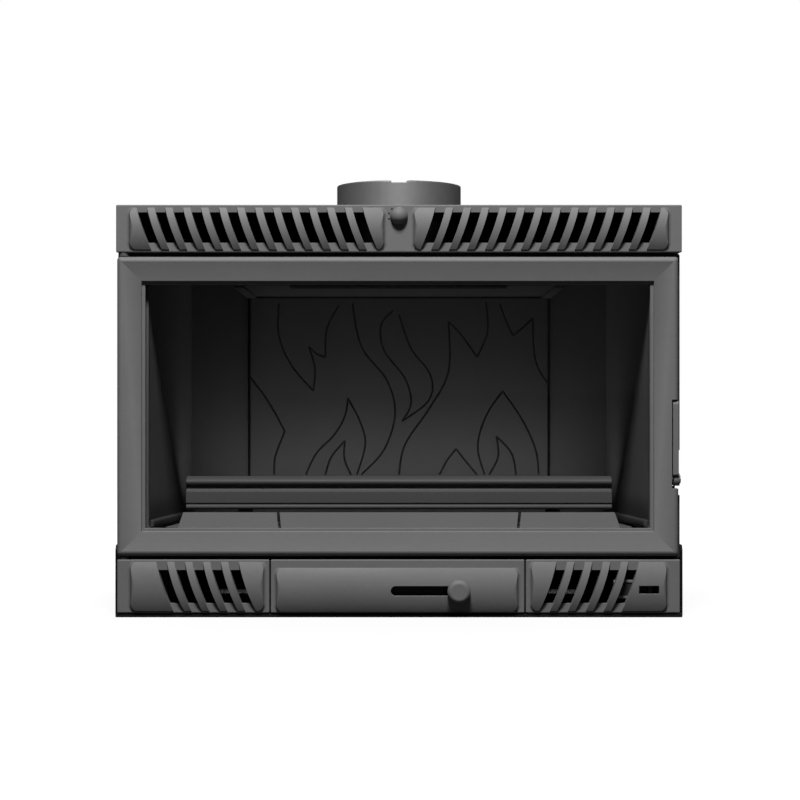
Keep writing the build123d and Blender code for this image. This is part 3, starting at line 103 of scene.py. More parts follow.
class FireplaceCastings(bpy.types.PropertyGroup):
    """Edges, flame lines and rope"""
    plate_arris: FloatProperty(
        name="Plate edge", description="Rounding of the edges of the front's castings",
        default=0.0006, min=0.0001, max=0.003, **LENGTH)
    body_arris: FloatProperty(
        name="Body edge", description="Rounding of the other castings' edges",
        default=0.0009, min=0.0001, max=0.003, **LENGTH)
    sheet_arris: FloatProperty(
        name="Sheet edge", description="Rounding of the edges of sheets, glass and small fittings",
        default=0.0003, min=0.0001, max=0.001, **LENGTH)
    flame_line_width: FloatProperty(
        name="Flame line width", description="Width of the lines cast into the fireback",
        default=0.0027, min=0.001, max=0.01, **LENGTH)
    rope_turns: FloatProperty(
        name="Rope turns", description="Turns of the sealing rope's lay in a metre",
        default=28.0, min=5.0, max=200.0)
    rope_strands: IntProperty(
        name="Rope strands", description="Strands of the sealing rope", default=4, min=3, max=8)


class FireplaceFinishes(bpy.types.PropertyGroup):
    """Colours of the paints and materials"""
    front_paint: FloatVectorProperty(
        name="Front paint", description="Heat-resistant paint of the front castings",
        default=(0.118,) * 3, **COLOUR)
    chamber_paint: FloatVectorProperty(
        name="Chamber paint", description="Paint of the fireback, back panels, bed and baffle",
        default=(0.06,) * 3, **COLOUR)
    liner_paint: FloatVectorProperty(
        name="Liner paint", description="Paint of the side liners", default=(0.08,) * 3, **COLOUR)
    hearth_paint: FloatVectorProperty(
        name="Hearth paint", description="Paint of the sill", default=(0.1,) * 3, **COLOUR)
    bar_paint: FloatVectorProperty(
        name="Bar paint", description="Paint of the log retainer", default=(0.052,) * 3, **COLOUR)
    body_paint: FloatVectorProperty(
        name="Body paint", description="Paint of the firebox castings behind the front",
        default=(0.06,) * 3, **COLOUR)
    collar_paint: FloatVectorProperty(
        name="Collar paint", description="Paint of the flue collar", default=(0.24,) * 3, **COLOUR)
    sheet_paint: FloatVectorProperty(
        name="Sheet paint", description="Paint of the casing and the drawer's sheets",
        default=(0.07,) * 3, **COLOUR)
    slide_paint: FloatVectorProperty(
        name="Slide paint", description="Paint of the air slides", default=(0.016,) * 3, **COLOUR)
    # Painted shade: near-black on the skirts and the base plate for the shade they stand in; the index
    # dots' black too.
    black_paint: FloatVectorProperty(
        name="Black and shade", description="Paint of the skirts, the base plate and the index dots",
        default=(0.006,) * 3, **COLOUR)
    bare_iron: FloatVectorProperty(
        name="Bare iron", description="Where handling has worn the paint off an edge",
        default=(0.23, 0.225, 0.22), **COLOUR)
    steel: FloatVectorProperty(
        name="Steel", description="Turned and bent steel fittings", default=(0.33,) * 3, **COLOUR)
    rope: FloatVectorProperty(
        name="Rope", description="Glass-fibre rope and tape", default=(0.22, 0.21, 0.2), **COLOUR)


class FireplaceStudio(bpy.types.PropertyGroup):
    """Camera and lights"""
    camera_distance: FloatProperty(
        name="Camera distance", description="From the front lands to the camera",
        default=2.67, min=0.5, max=10.0, **LENGTH)
    camera_height: FloatProperty(
        name="Camera height", description="Of the level camera above the floor",
        default=0.2504, min=0.0, max=3.0, **LENGTH)
    lens: FloatProperty(
        name="Lens", description="Focal length in millimetres on a 36 mm sensor",
        default=97.16, min=20.0, max=300.0)
    horizon_drop: FloatProperty(
        name="Horizon drop", description="How far the horizon lies below the middle, of the picture's side",
        default=0.01875, min=-0.2, max=0.2)
    sideways: FloatProperty(
        name="Sideways", description="How far the object lies left of the middle, of the picture's side",
        default=0.0013, min=-0.2, max=0.2)
    key_power: FloatProperty(
        name="Key light", description="Power of the light over the front, in watts",
        default=194.0, min=0.0, max=1000.0)
    fill_power: FloatProperty(
        name="Fill light", description="Power of the light beside the camera, in watts",
        default=1.0, min=0.0, max=1000.0)
    back_power: FloatProperty(
        name="Back light", description="Power of the soft light behind the object, in watts",
        default=60.0, min=0.0, max=500.0)
    chamber_power: FloatProperty(
        name="Chamber light", description="Power of the strip inside the fire chamber, in watts",
        default=0.25, min=0.0, max=20.0)
    sky: FloatProperty(
        name="Room light", description="Strength of the even light from all round",
        default=0.01, min=0.0, max=5.0)


def castings():
    return bpy.context.scene.fireplace_castings


def finishes():
    return bpy.context.scene.fireplace_finishes


# ---- Nodes -----------------------------------------------------------------------------
def add(tree, kind, inputs=None, **settings):
    """A node with its settings, whose inputs are values or other nodes' output sockets."""
    made = tree.nodes.new(kind)
    for name, value in settings.items():
        setattr(made, name, value)
    for name, value in (inputs or {}).items():
        socket = made.inputs[name]
        if isinstance(value, bpy.types.NodeSocket):
            tree.links.new(value, socket)
        else:
            socket.default_value = value
    return made


def maths(tree, operation, first, second=0.0, clamp=False):
    return add(tree, "ShaderNodeMath", {0: first, 1: second},
               operation=operation, use_clamp=clamp).outputs[0]


def times(tree, first, second, clamp=False):
    return maths(tree, "MULTIPLY", first, second, clamp)


def vector_maths(tree, operation, inputs, output="Vector"):
    return add(tree, "ShaderNodeVectorMath", inputs, operation=operation).outputs[output]


def ramp(tree, value, low, high, to_low=0.0, to_high=1.0):
    """A smooth step of a value between two levels."""
    return add(tree, "ShaderNodeMapRange",
               {"Value": value, "From Min": low, "From Max": high, "To Min": to_low, "To Max": to_high},
               interpolation_type="SMOOTHSTEP").outputs["Result"]


def object_place(tree):
    """Coordinates that stay with the piece."""
    return add(tree, "ShaderNodeTexCoord").outputs["Object"]


def noise(tree, place, scale, detail, roughness=0.5):
    return add(tree, "ShaderNodeTexNoise", {"Vector": place, "Scale": scale, "Detail": detail,
                                            "Roughness": roughness}).outputs["Fac"]


def shader_group(name, inputs, outputs):
    """An empty shader group with float inputs and float outputs, and its two end nodes."""
    tree = bpy.data.node_groups.new(name, "ShaderNodeTree")
    for label, default in inputs.items():
        socket = tree.interface.new_socket(label, in_out="INPUT", socket_type="NodeSocketFloat")
        socket.default_value = default
    for label in outputs:
        tree.interface.new_socket(label, in_out="OUTPUT", socket_type="NodeSocketFloat")
    return tree, tree.nodes.new("NodeGroupInput").outputs, tree.nodes.new("NodeGroupOutput").inputs


def shared(name, build):
    """The node group of that name, built on its first use."""
    return bpy.data.node_groups.get(name) or build(name)


def build_cast_skin(name):
    """Fine sand-cast skin under paint: height, tone and gloss that change over the surface."""
    tree, given, out = shader_group(name, {"Grain": 900.0, "Ripple": 120.0, "Mottle": 9.0,
                                           "Tone Spread": 0.06}, ("Height", "Tone", "Gloss"))
    place = object_place(tree)
    grain = noise(tree, place, scale=given["Grain"], detail=3.0, roughness=0.6)
    ripple = noise(tree, place, scale=given["Ripple"], detail=4.0, roughness=0.55)
    mottle = noise(tree, place, scale=given["Mottle"], detail=3.0)
    height = maths(tree, "ADD", times(tree, grain, 0.6), times(tree, ripple, 0.8))
    uneven = maths(tree, "ADD", times(tree, mottle, 0.6), times(tree, ripple, 0.4))
    swing = times(tree, maths(tree, "SUBTRACT", uneven, 0.5), given["Tone Spread"])
    tone = maths(tree, "ADD", times(tree, swing, 4.0), 1.0)
    tree.links.new(height, out["Height"])
    tree.links.new(tone, out["Tone"])
    tree.links.new(ramp(tree, mottle, 0.3, 0.7, -0.05, 0.05), out["Gloss"])
    return tree


def build_worn_edges(name):
    """Mask of outer and inner edges, broken up so that it doesn't run evenly."""
    tree, given, out = shader_group(name, {"Radius": 0.0008, "Break Up": 160.0}, ("Mask",))
    soft = add(tree, "ShaderNodeBevel", {"Radius": given["Radius"]}, samples=4).outputs["Normal"]
    true = add(tree, "ShaderNodeNewGeometry").outputs["Normal"]
    along = vector_maths(tree, "DOT_PRODUCT", {0: soft, 1: true}, "Value")
    patches = noise(tree, object_place(tree), scale=given["Break Up"], detail=2.0)
    edge = ramp(tree, along, 0.995, 0.9)
    tree.links.new(times(tree, edge, ramp(tree, patches, 0.35, 0.65), clamp=True), out["Mask"])
    return tree


def build_settled_dust(name):
    """Mask of fine ash and dust that settles on what faces up."""
    tree, given, out = shader_group(name, {"Amount": 0.2, "Patches": 30.0}, ("Mask",))
    normal = add(tree, "ShaderNodeNewGeometry").outputs["Normal"]
    facing = add(tree, "ShaderNodeSeparateXYZ", {"Vector": normal}).outputs["Z"]
    patches = noise(tree, object_place(tree), scale=given["Patches"], detail=4.0)
    cover = times(tree, ramp(tree, facing, 0.5, 1.0), ramp(tree, patches, 0.3, 0.75))
    tree.links.new(times(tree, cover, given["Amount"], clamp=True), out["Mask"])
    return tree


# ---- Materials -------------------------------------------------------------------------
WHITE = (1.0, 1.0, 1.0, 1.0)
GLASS_TINT = (0.95, 0.95, 0.95, 1.0)
ASH = (0.24, 0.235, 0.225)
TARNISH = (0.12, 0.115, 0.11)
ROPE_SOOT = (0.07, 0.068, 0.065)
ROUGH_SKIN = {"depth": 0.0003, "grain": 520.0, "spread": 0.1}
ROLLED_SKIN = {"depth": 0.00005, "grain": 1500.0, "spread": 0.04}


def blank_material(name):
    material = bpy.data.materials.new(name)
    material.use_nodes = True
    material.node_tree.nodes.clear()
    return material, material.node_tree


def surface(tree, shader):
    """Makes a shader the surface of its material."""
    add(tree, "ShaderNodeOutputMaterial", {"Surface": shader})


def principled(tree, inputs):
    return add(tree, "ShaderNodeBsdfPrincipled", inputs).outputs[0]


def bump(tree, inputs):
    return add(tree, "ShaderNodeBump", inputs).outputs["Normal"]


def colour_mix(tree, first, second, share, blend="MIX"):
    """Two colours mixed; the colour sockets of a Mix node are its seventh and eighth."""
    pair = [colour if isinstance(colour, bpy.types.NodeSocket) else (*colour, 1.0)
            for colour in (first, second)]
    return add(tree, "ShaderNodeMix", {0: share, 6: pair[0], 7: pair[1]},
               data_type="RGBA", blend_type=blend).outputs[2]


def tinted(tree, colour, value):
    """A colour whose three channels are multiplied by a value."""
    grey = add(tree, "ShaderNodeCombineColor", {"Red": value, "Green": value, "Blue": value})
    return colour_mix(tree, colour, grey.outputs["Color"], 1.0, "MULTIPLY")


def iron_colour(tree, paint, tone, wear, dust, painted_shade):
    """Paint with its mottle, its worn edges, what has settled on it and any painted shade."""
    edges = add(tree, "ShaderNodeGroup", node_tree=shared("Worn Edges", build_worn_edges))
    settled = add(tree, "ShaderNodeGroup", {"Amount": dust},
                  node_tree=shared("Settled Dust", build_settled_dust))
    colour = tinted(tree, paint, tone)
    colour = colour_mix(tree, colour, finishes().bare_iron, times(tree, edges.outputs["Mask"], wear))
    colour = colour_mix(tree, colour, ASH, settled.outputs["Mask"])
    # Painted shade: the colour darkens along one axis, towards the bed or into the flame lines.
    if painted_shade:
        axis, *levels = painted_shade
        along = add(tree, "ShaderNodeSeparateXYZ", {"Vector": object_place(tree)}).outputs[axis]
        colour = tinted(tree, colour, ramp(tree, along, *levels))
    return colour


def painted_iron(name, paint, roughness, depth=0.00016, wear=0.35, dust=0.12, grain=900.0, spread=0.06,
                 specular=0.5, metallic=0.0, painted_shade=None):
    """Heat-resistant paint over sand-cast iron or sheet, worn on its edges.

    Painted shade can darken it along an axis: that argument holds the axis, where the change starts
    and ends, and how much of the paint's colour is left at both.
    """
    material, tree = blank_material(name)
    skin = add(tree, "ShaderNodeGroup", {"Grain": grain, "Tone Spread": spread},
               node_tree=shared("Cast Skin", build_cast_skin))
    soft = add(tree, "ShaderNodeBevel", {"Radius": castings().plate_arris}, samples=6).outputs["Normal"]
    surface(tree, principled(tree, {
        "Base Color": iron_colour(tree, paint, skin.outputs["Tone"], wear, dust, painted_shade),
        "Roughness": maths(tree, "ADD", skin.outputs["Gloss"], roughness, clamp=True),
        "Specular IOR Level": specular, "Metallic": metallic,
        "Normal": bump(tree, {"Height": skin.outputs["Height"], "Distance": depth, "Normal": soft})}))
    return material


def build_fireback_casting(name):
    """The chamber's casting with painted shade in the flame lines."""
    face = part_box("fireback_plate")[0].y
    start, full = GROOVE_SHADE
    return painted_iron(name, finishes().chamber_paint, 0.62, wear=0.0, dust=0.0, **ROUGH_SKIN,
                        painted_shade=("Y", face + start, face + full, 1.0, 0.2))


def build_liner_casting(name):
    """The side liners' casting, darkened along the bed by painted shade."""
    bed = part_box("hearth_ledge_left")[1].z
    return painted_iron(name, finishes().liner_paint, 0.72, depth=0.0002, wear=0.0, grain=520.0,
                        spread=0.1, dust=0.0, painted_shade=("Z", bed, bed + SHADE_BAND, 0.25, 1.0))


def build_brushed_steel(name):
    """Turned steel with fine tool marks and a little tarnish."""
    material, tree = blank_material(name)
    place = object_place(tree)
    stretched = add(tree, "ShaderNodeMapping", {"Vector": place, "Scale": (900.0, 60.0, 900.0)})
    marks = noise(tree, stretched.outputs["Vector"], scale=1.0, detail=2.0)
    dull = noise(tree, place, scale=70.0, detail=4.0)
    colour = colour_mix(tree, finishes().steel, TARNISH, ramp(tree, dull, 0.35, 0.8, 0.0, 0.7))
    surface(tree, principled(tree, {
        "Base Color": colour, "Roughness": ramp(tree, dull, 0.2, 0.8, 0.32, 0.55), "Metallic": 1.0,
        "Normal": bump(tree, {"Height": marks, "Distance": 0.00003})}))
    return material


def build_stove_glass(name):
    """Clear glass ceramic. Shadow and reflected rays pass, so that light falls straight through."""
    material, tree = blank_material(name)
    film = noise(tree, object_place(tree), scale=14.0, detail=3.0)
    pane = principled(tree, {
        "Base Color": GLASS_TINT, "Roughness": ramp(tree, film, 0.5, 0.8, 0.0, 0.02),
        "IOR": 1.16, "Transmission Weight": 1.0})
    clear = add(tree, "ShaderNodeBsdfTransparent", {"Color": GLASS_TINT}).outputs[0]
    path = add(tree, "ShaderNodeLightPath").outputs
    passed = maths(tree, "MAXIMUM", path["Is Shadow Ray"], path["Is Reflection Ray"])
    surface(tree, add(tree, "ShaderNodeMixShader", {0: passed, 1: pane, 2: clear}).outputs[0])
    return material


def build_rope_fibre(name):
    """Knitted glass fibre, grey with handling soot."""
    material, tree = blank_material(name)
    place = object_place(tree)
    yarn = noise(tree, place, scale=1600.0, detail=2.0)
    soot = noise(tree, place, scale=24.0, detail=3.0)
    colour = colour_mix(tree, finishes().rope, ROPE_SOOT, ramp(tree, soot, 0.4, 0.7))
    surface(tree, principled(tree, {
        "Base Color": colour, "Roughness": ramp(tree, yarn, 0.2, 0.8, 0.8, 0.95),
        "Normal": bump(tree, {"Height": yarn, "Distance": 0.0003})}))
    return material


# The painted finishes: each one's paint, and how its skin differs from painted_iron's own.
PAINTED = {
    "front casting": ("front_paint", {"roughness": 0.62, "specular": 0.3}),
    "chamber casting": ("chamber_paint", {"roughness": 0.62, "wear": 0.15, **ROUGH_SKIN}),
    "body casting": ("body_paint", {"roughness": 0.6, "wear": 0.2, "dust": 0.2, **ROUGH_SKIN}),
    "hearth casting": ("hearth_paint", {"roughness": 0.65, "depth": 0.0001, "spread": 0.02, "wear": 0.1,
                                        "dust": 0.0, "specular": 0.3}),
    "bar casting": ("bar_paint", {"roughness": 0.65, "depth": 0.0001, "spread": 0.03, "wear": 0.1,
                                  "dust": 0.0, "specular": 0.3}),
    "collar casting": ("collar_paint", {"roughness": 0.5, "wear": 0.2, "specular": 0.08,
                                        "metallic": 0.75}),
    "slide sheet": ("slide_paint", {"roughness": 0.6, "wear": 0.1, "dust": 0.0, "specular": 0.2,
                                    **ROLLED_SKIN}),
    "painted sheet": ("sheet_paint", {"roughness": 0.42, "wear": 0.3, "dust": 0.07, **ROLLED_SKIN}),
    # near-black: painted shade on the skirts and the base plate, and the black of the index dots
    "black paint": ("black_paint", {"roughness": 0.6, "depth": 0.00008, "wear": 0.0, "dust": 0.0,
                                    "specular": 0.2}),
}
OTHERS = {
    "fireback casting": build_fireback_casting,
    "liner casting": build_liner_casting,
    "turned steel": build_brushed_steel,
    "stove glass": build_stove_glass,
    "rope fibre": build_rope_fibre,
}


def finish(name):
    """The material of a finish, made on its first use."""
    if name in bpy.data.materials:
        return bpy.data.materials[name]
    if name in OTHERS:
        return OTHERS[name](name)
    paint, settings = PAINTED[name]
    return painted_iron(name, getattr(finishes(), paint), **settings)


# ---- Meshes ----------------------------------------------------------------------------
def merged_copy(node):
    """An editable copy of a CAD node's mesh, with whole faces instead of loose triangles."""
    mesh = bmesh.new()
    mesh.from_mesh(frame["nodes"][node].data)
    bmesh.ops.remove_doubles(mesh, verts=mesh.verts, dist=MERGE)
    bmesh.ops.dissolve_limit(mesh, angle_limit=FLAT, verts=mesh.verts, edges=mesh.edges)
    return mesh


def safe_width(edge, sharp, width):
    """The widest rounding that an edge's neighbours leave room for."""
    room = width
    for corner in edge.link_loops:
        after = corner.link_loop_next
        for loop, end in ((corner.link_loop_prev, corner.vert), (after, after.vert)):
            near = loop.edge
            along = edge.other_vert(end).co - end.co
            aside = near.other_vert(end).co - end.co
            if near in sharp and along.dot(aside) < -SAME_LINE * along.length * aside.length:
                continue
            reach = along.cross(aside).length / along.length
            room = min(room, max(reach, LEAST_ROOM) * (ROOM_SHARED if near in sharp else ROOM_ALONE))
    return room


def evaluated_mesh(carrier):
    """The plain mesh that an object's modifiers give."""
    bpy.context.view_layer.update()
    shown = carrier.evaluated_get(bpy.context.evaluated_depsgraph_get())
    return bpy.data.meshes.new_from_object(shown)


def carrier_of(data):
    """A passing object that carries a mesh through its modifiers."""
    carrier = bpy.data.objects.new(data.name, data)
    bpy.context.scene.collection.objects.link(carrier)
    return carrier


def weigh_edges(mesh, width, crease):
    """Weighs the sharp edges for rounding. Blunter ones down to the crease angle stay crisp lines."""
    weight = mesh.edges.layers.float.new("bevel_weight_edge")
    sharp = {e for e in mesh.edges if len(e.link_faces) == 2 and e.calc_face_angle(0.0) > SHARP}
    for face in mesh.faces:
        face.smooth = True
    for edge in mesh.edges:
        edge.smooth = len(edge.link_faces) == 2 and edge.calc_face_angle(0.0) < crease
    for edge in sharp:
        edge.smooth = True
        edge[weight] = safe_width(edge, sharp, width) / width


def bevelled(mesh, width):
    """The mesh with its weighed edges rounded, whose large faces keep their own normals."""
    data = bpy.data.meshes.new("rounding")
    mesh.to_mesh(data)
    mesh.free()
    carrier = carrier_of(data)
    bevel = carrier.modifiers.new("Rounding", "BEVEL")
    bevel.width = width
    bevel.segments = ARRIS_SEGMENTS
    bevel.limit_method = "WEIGHT"
    bevel.use_clamp_overlap = False
    even = carrier.modifiers.new("Even", "WEIGHTED_NORMAL")
    even.mode = "FACE_AREA"
    even.weight = FACE_WEIGHT
    even.keep_sharp = True
    result = evaluated_mesh(carrier)
    carrier.modifiers.clear()
    bpy.data.objects.remove(carrier)
    return result


def rounded(node, width, split, crease):
    """A node's mesh with its sharp edges rounded, where wanted over faces split to be convex."""
    mesh = merged_copy(node)
    weigh_edges(mesh, width, crease)
    if split:
        bmesh.ops.connect_verts_concave(mesh, faces=mesh.faces)
    return bevelled(mesh, width)


def skin_area(mesh):
    mesh.calc_loop_triangles()
    return sum(triangle.area for triangle in mesh.loop_triangles)


def keeps_form(mesh, node):
    """Whether a rounded mesh has about its node's area and fits its box, into which it is pressed."""
    low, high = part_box(node)
    for vertex in mesh.vertices:
        inside = Vector(min(max(vertex.co[i], low[i]), high[i]) for i in range(3))
        if (vertex.co - inside).length > SPIKE:
            return False
        vertex.co = inside
    least, most = AREA_KEPT
    return least < skin_area(mesh) / skin_area(frame["nodes"][node].data) < most


def round_arrises(node, width, crease=SHARP):
    """A node's mesh with rounded edges. Where the form leaves no room, they are rounded less."""
    for share in ROUNDING_TRIES:
        for split in (False, True):
            mesh = rounded(node, width * share, split, crease)
            if keeps_form(mesh, node):
                return mesh
            bpy.data.meshes.remove(mesh)
    raise RuntimeError(f"{node} has an edge that can't be rounded")


def make_object(mesh, name, material, crease=SHARP):
    """A mesh at the origin with one finish. A mesh still in the making is shaded smooth."""
    if isinstance(mesh, bmesh.types.BMesh):
        data = bpy.data.meshes.new(name)
        mesh.to_mesh(data)
        mesh.free()
        data.shade_smooth()
        data.set_sharp_from_angle(angle=crease)
    else:
        data = mesh
        data.name = name
    made = bpy.data.objects.new(name, data)
    bpy.context.scene.collection.objects.link(made)
    data.materials.clear()
    data.materials.append(material)
    return made


def stand_for(piece, *nodes):
    """The piece is shown for these CAD nodes, on their body."""
    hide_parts(*nodes)
    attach(piece, BODY_OF[nodes[0]])
    return piece


def kept(node, look):
    """A CAD node shown as it is, with a finish."""
    data = frame["nodes"][node].data
    data.materials.clear()
    data.materials.append(finish(look))


def softened(node, name, look, width, crease=SHARP):
    """A CAD node shown with rounded arrises and a finish."""
    return stand_for(make_object(round_arrises(node, width, crease), name, finish(look)), node)


def fitting(node, name, look):
    """A small or thin CAD node shown with fine edges and a finish."""
    return softened(node, name, look, castings().sheet_arris)


def cast(look, *nodes):
    """CAD nodes shown as castings."""
    for node in nodes:
        softened(node, node + "_casting", look, castings().body_arris)


def bent(look, *nodes):
    """CAD nodes shown as bent sheets."""
    for node in nodes:
        fitting(node, node + "_sheet", look)


def turned(*nodes):
    """CAD nodes shown as bare steel."""
    for node in nodes:
        fitting(node, node + "_steel", "turned steel")


# ---- Geometry trees --------------------------------------------------------------------
SOCKETS = {float: "NodeSocketFloat", int: "NodeSocketInt", type(None): "NodeSocketObject"}


def geometry_tree(name, inputs):
    """A tree from a geometry and a finish to a geometry, with more inputs after their defaults.

    An input whose default is None takes an object.
    """
    tree = bpy.data.node_groups.new(name, "GeometryNodeTree")
    tree.interface.new_socket("Geometry", in_out="INPUT", socket_type="NodeSocketGeometry")
    for label, default in inputs.items():
        socket = tree.interface.new_socket(label, in_out="INPUT", socket_type=SOCKETS[type(default)])
        if default is not None:
            socket.default_value = default
    tree.interface.new_socket("Finish", in_out="INPUT", socket_type="NodeSocketMaterial")
    tree.interface.new_socket("Geometry", in_out="OUTPUT", socket_type="NodeSocketGeometry")
    return tree, tree.nodes.new("NodeGroupInput").outputs


def close_tree(tree, given, geometry):
    """Ends a tree in Realize Instances and Set Material."""
    real = add(tree, "GeometryNodeRealizeInstances", {"Geometry": geometry}).outputs["Geometry"]
    shown = add(tree, "GeometryNodeSetMaterial", {"Geometry": real, "Material": given["Finish"]})
    tree.links.new(shown.outputs["Geometry"], tree.nodes.new("NodeGroupOutput").inputs["Geometry"])
    return tree


def run_tree(tree, points, edges, values, attributes=None):
    """Runs a geometry tree on points and edges and returns the plain mesh that it gives."""
    seed = bpy.data.meshes.new(tree.name + " seed")
    seed.from_pydata(points, edges, [])
    for label, vectors in (attributes or {}).items():
        held = seed.attributes.new(label, "FLOAT_VECTOR", "POINT")
        held.data.foreach_set("vector", [value for vector in vectors for value in vector])
    carrier = carrier_of(seed)
    modifier = carrier.modifiers.new("Tree", "NODES")
    modifier.node_group = tree
    for socket in tree.interface.items_tree:
        if socket.in_out == "INPUT" and socket.name in values:
            modifier[socket.identifier] = values[socket.name]
    result = evaluated_mesh(carrier)
    carrier.modifiers.remove(modifier)
    bpy.data.objects.remove(carrier)
    return result


def cone(tree, sides, below, above, tall, level):
    """An upright cone or prism that stands on a level, with a radius below and above."""
    block = add(tree, "GeometryNodeMeshCone", {"Vertices": sides, "Radius Bottom": below,
                                               "Radius Top": above, "Depth": tall})
    lift = add(tree, "ShaderNodeCombineXYZ", {"Z": level}).outputs["Vector"]
    return add(tree, "GeometryNodeTransform",
               {"Geometry": block.outputs["Mesh"], "Translation": lift}).outputs["Geometry"]


def build_hexagon_bolts(name):
    """Flanged hexagon heads on points; each point's turn says which way its head looks."""
    tree, given = geometry_tree(name, {"Across": 0.009, "Height": 0.0024, "Flange": 0.011,
                                       "Shank": 0.005})
    height = given["Height"]
    half = times(tree, given["Across"], 0.5)
    flange = times(tree, given["Flange"], 0.5)
    shank = times(tree, given["Shank"], 0.5)
    shoulder = times(tree, height, HEAD_SHOULDER)
    chamfer = times(tree, height, 1.0 - HEAD_SHOULDER)
    parts = (
        cone(tree, 6, half, half, shoulder, 0.0),
        cone(tree, 6, half, times(tree, half, HEAD_TOP), chamfer, shoulder),
        cone(tree, 24, flange, half, times(tree, height, FLANGE_HEIGHT), 0.0),
        cone(tree, 16, shank, shank, SHANK_LENGTH, SHANK_OVERLAP - SHANK_LENGTH),
    )
    joined = tree.nodes.new("GeometryNodeJoinGeometry")
    for part in reversed(parts):
        tree.links.new(part, joined.inputs[0])
    turn = add(tree, "GeometryNodeInputNamedAttribute", {"Name": "turn"},
               data_type="FLOAT_VECTOR").outputs["Attribute"]
    points = add(tree, "GeometryNodeMeshToPoints", {"Mesh": given["Geometry"]}).outputs[0]
    copies = add(tree, "GeometryNodeInstanceOnPoints",
                 {"Points": points, "Instance": joined.outputs[0], "Rotation": turn})
    return close_tree(tree, given, copies.outputs["Instances"])


def islands(node):
    """The boxes of a node's separate solids, in a steady order."""
    mesh = merged_copy(node)
    left = set(mesh.verts)
    boxes = []
    while left:
        todo = [left.pop()]
        found = []
        while todo:
            vertex = todo.pop()
            found.append(vertex.co.copy())
            for edge in vertex.link_edges:
                other = edge.other_vert(vertex)
                if other in left:
                    left.remove(other)
                    todo.append(other)
        boxes.append((Vector(map(min, zip(*found))), Vector(map(max, zip(*found)))))
    mesh.free()
    return sorted(boxes, key=lambda box: tuple(round(c, 5) for c in box[0]))


UPWARD = (0.0, 0.0, 0.0)                     # turn of a bolt whose head looks up
BACKWARD = (-math.pi / 2, 0.0, 0.0)          # turn of a bolt whose head looks to the back


def bolts(node, name, across, height, flange, shank, rising=math.inf):
    """Bolts in place of a node of plain ones, which look up from the level of rising on.

    Each head's top stays where the plain one's is.
    """
    points = []
    turns = []
    for low, high in islands(node):
        middle = (low + high) / 2
        if high.z > rising:
            points.append((middle.x, middle.y, high.z - height))
            turns.append(UPWARD)
        else:
            points.append((middle.x, high.y - height, middle.z))
            turns.append(BACKWARD)
    steel = finish("turned steel")
    mesh = run_tree(shared("Hexagon Bolts", build_hexagon_bolts), points, [],
                    {"Across": across, "Height": height, "Flange": flange, "Shank": shank,
                     "Finish": steel}, {"turn": turns})
    return stand_for(make_object(mesh, name, steel), node)


def build_twisted_rope(name):
    """Strands that turn round a closed path in an upright plane."""
    tree, given = geometry_tree(name, {"Radius": 0.0035, "Turns": 60, "Strands": 4, "Step": 0.003})
    line = add(tree, "GeometryNodeMeshToCurve", {"Mesh": given["Geometry"]}).outputs["Curve"]
    even = add(tree, "GeometryNodeResampleCurve", {"Curve": line, "Length": given["Step"]},
               mode="LENGTH").outputs["Curve"]
    copies = add(tree, "GeometryNodeDuplicateElements",
                 {"Geometry": even, "Amount": given["Strands"]}, domain="SPLINE")
    along = add(tree, "GeometryNodeSplineParameter").outputs["Factor"]
    share = maths(tree, "DIVIDE", copies.outputs["Duplicate Index"], given["Strands"])
    turned_by = maths(tree, "ADD", times(tree, along, given["Turns"]), share)
    angle = times(tree, turned_by, 2.0 * math.pi)
    reach = times(tree, given["Radius"], ROPE_REACH)
    tangent = add(tree, "GeometryNodeInputTangent").outputs["Tangent"]
    across = vector_maths(tree, "CROSS_PRODUCT", {0: tangent, 1: (0.0, 1.0, 0.0)})
    sideways = vector_maths(tree, "SCALE",
                            {0: across, "Scale": times(tree, maths(tree, "SINE", angle), reach)})
    inwards = add(tree, "ShaderNodeCombineXYZ",
                  {"Y": times(tree, maths(tree, "COSINE", angle), reach)}).outputs[0]
    strands = add(tree, "GeometryNodeSetPosition", {
        "Geometry": copies.outputs["Geometry"],
        "Offset": vector_maths(tree, "ADD", {0: sideways, 1: inwards})}).outputs["Geometry"]
    yarn = add(tree, "GeometryNodeCurvePrimitiveCircle", {
        "Resolution": 6, "Radius": times(tree, given["Radius"], STRAND_RADIUS)}).outputs["Curve"]
    rope = add(tree, "GeometryNodeCurveToMesh", {"Curve": strands, "Profile Curve": yarn})
    return close_tree(tree, given, rope.outputs["Mesh"])


def rope_seal(node, look):
    """The twisted rope in the door's groove."""
    low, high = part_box(node)
    radius = (high.y - low.y) / 2.0
    inner = radius + SEAL_CORNER
    corners = ((high.x - inner, high.z - inner), (low.x + inner, high.z - inner),
               (low.x + inner, low.z + inner), (high.x - inner, low.z + inner))
    points = []
    for quarter, (x, z) in enumerate(corners):
        for step in range(CORNER_STEPS + 1):
            angle = (quarter + step / CORNER_STEPS) * math.pi / 2.0
            points.append((x + SEAL_CORNER * math.cos(angle), low.y + radius,
                           z + SEAL_CORNER * math.sin(angle)))
    edges = [(index, (index + 1) % len(points)) for index in range(len(points))]
    length = sum(math.dist(points[first], points[second]) for first, second in edges)
    mesh = run_tree(shared("Twisted Rope", build_twisted_rope), points, edges,
                    {"Radius": radius, "Turns": round(castings().rope_turns * length),
                     "Strands": castings().rope_strands, "Finish": finish(look)})
    form = bmesh.new()
    form.from_mesh(mesh)
    return stand_for(make_object(form, "seal_rope", finish(look), STRAND_CREASE), node)


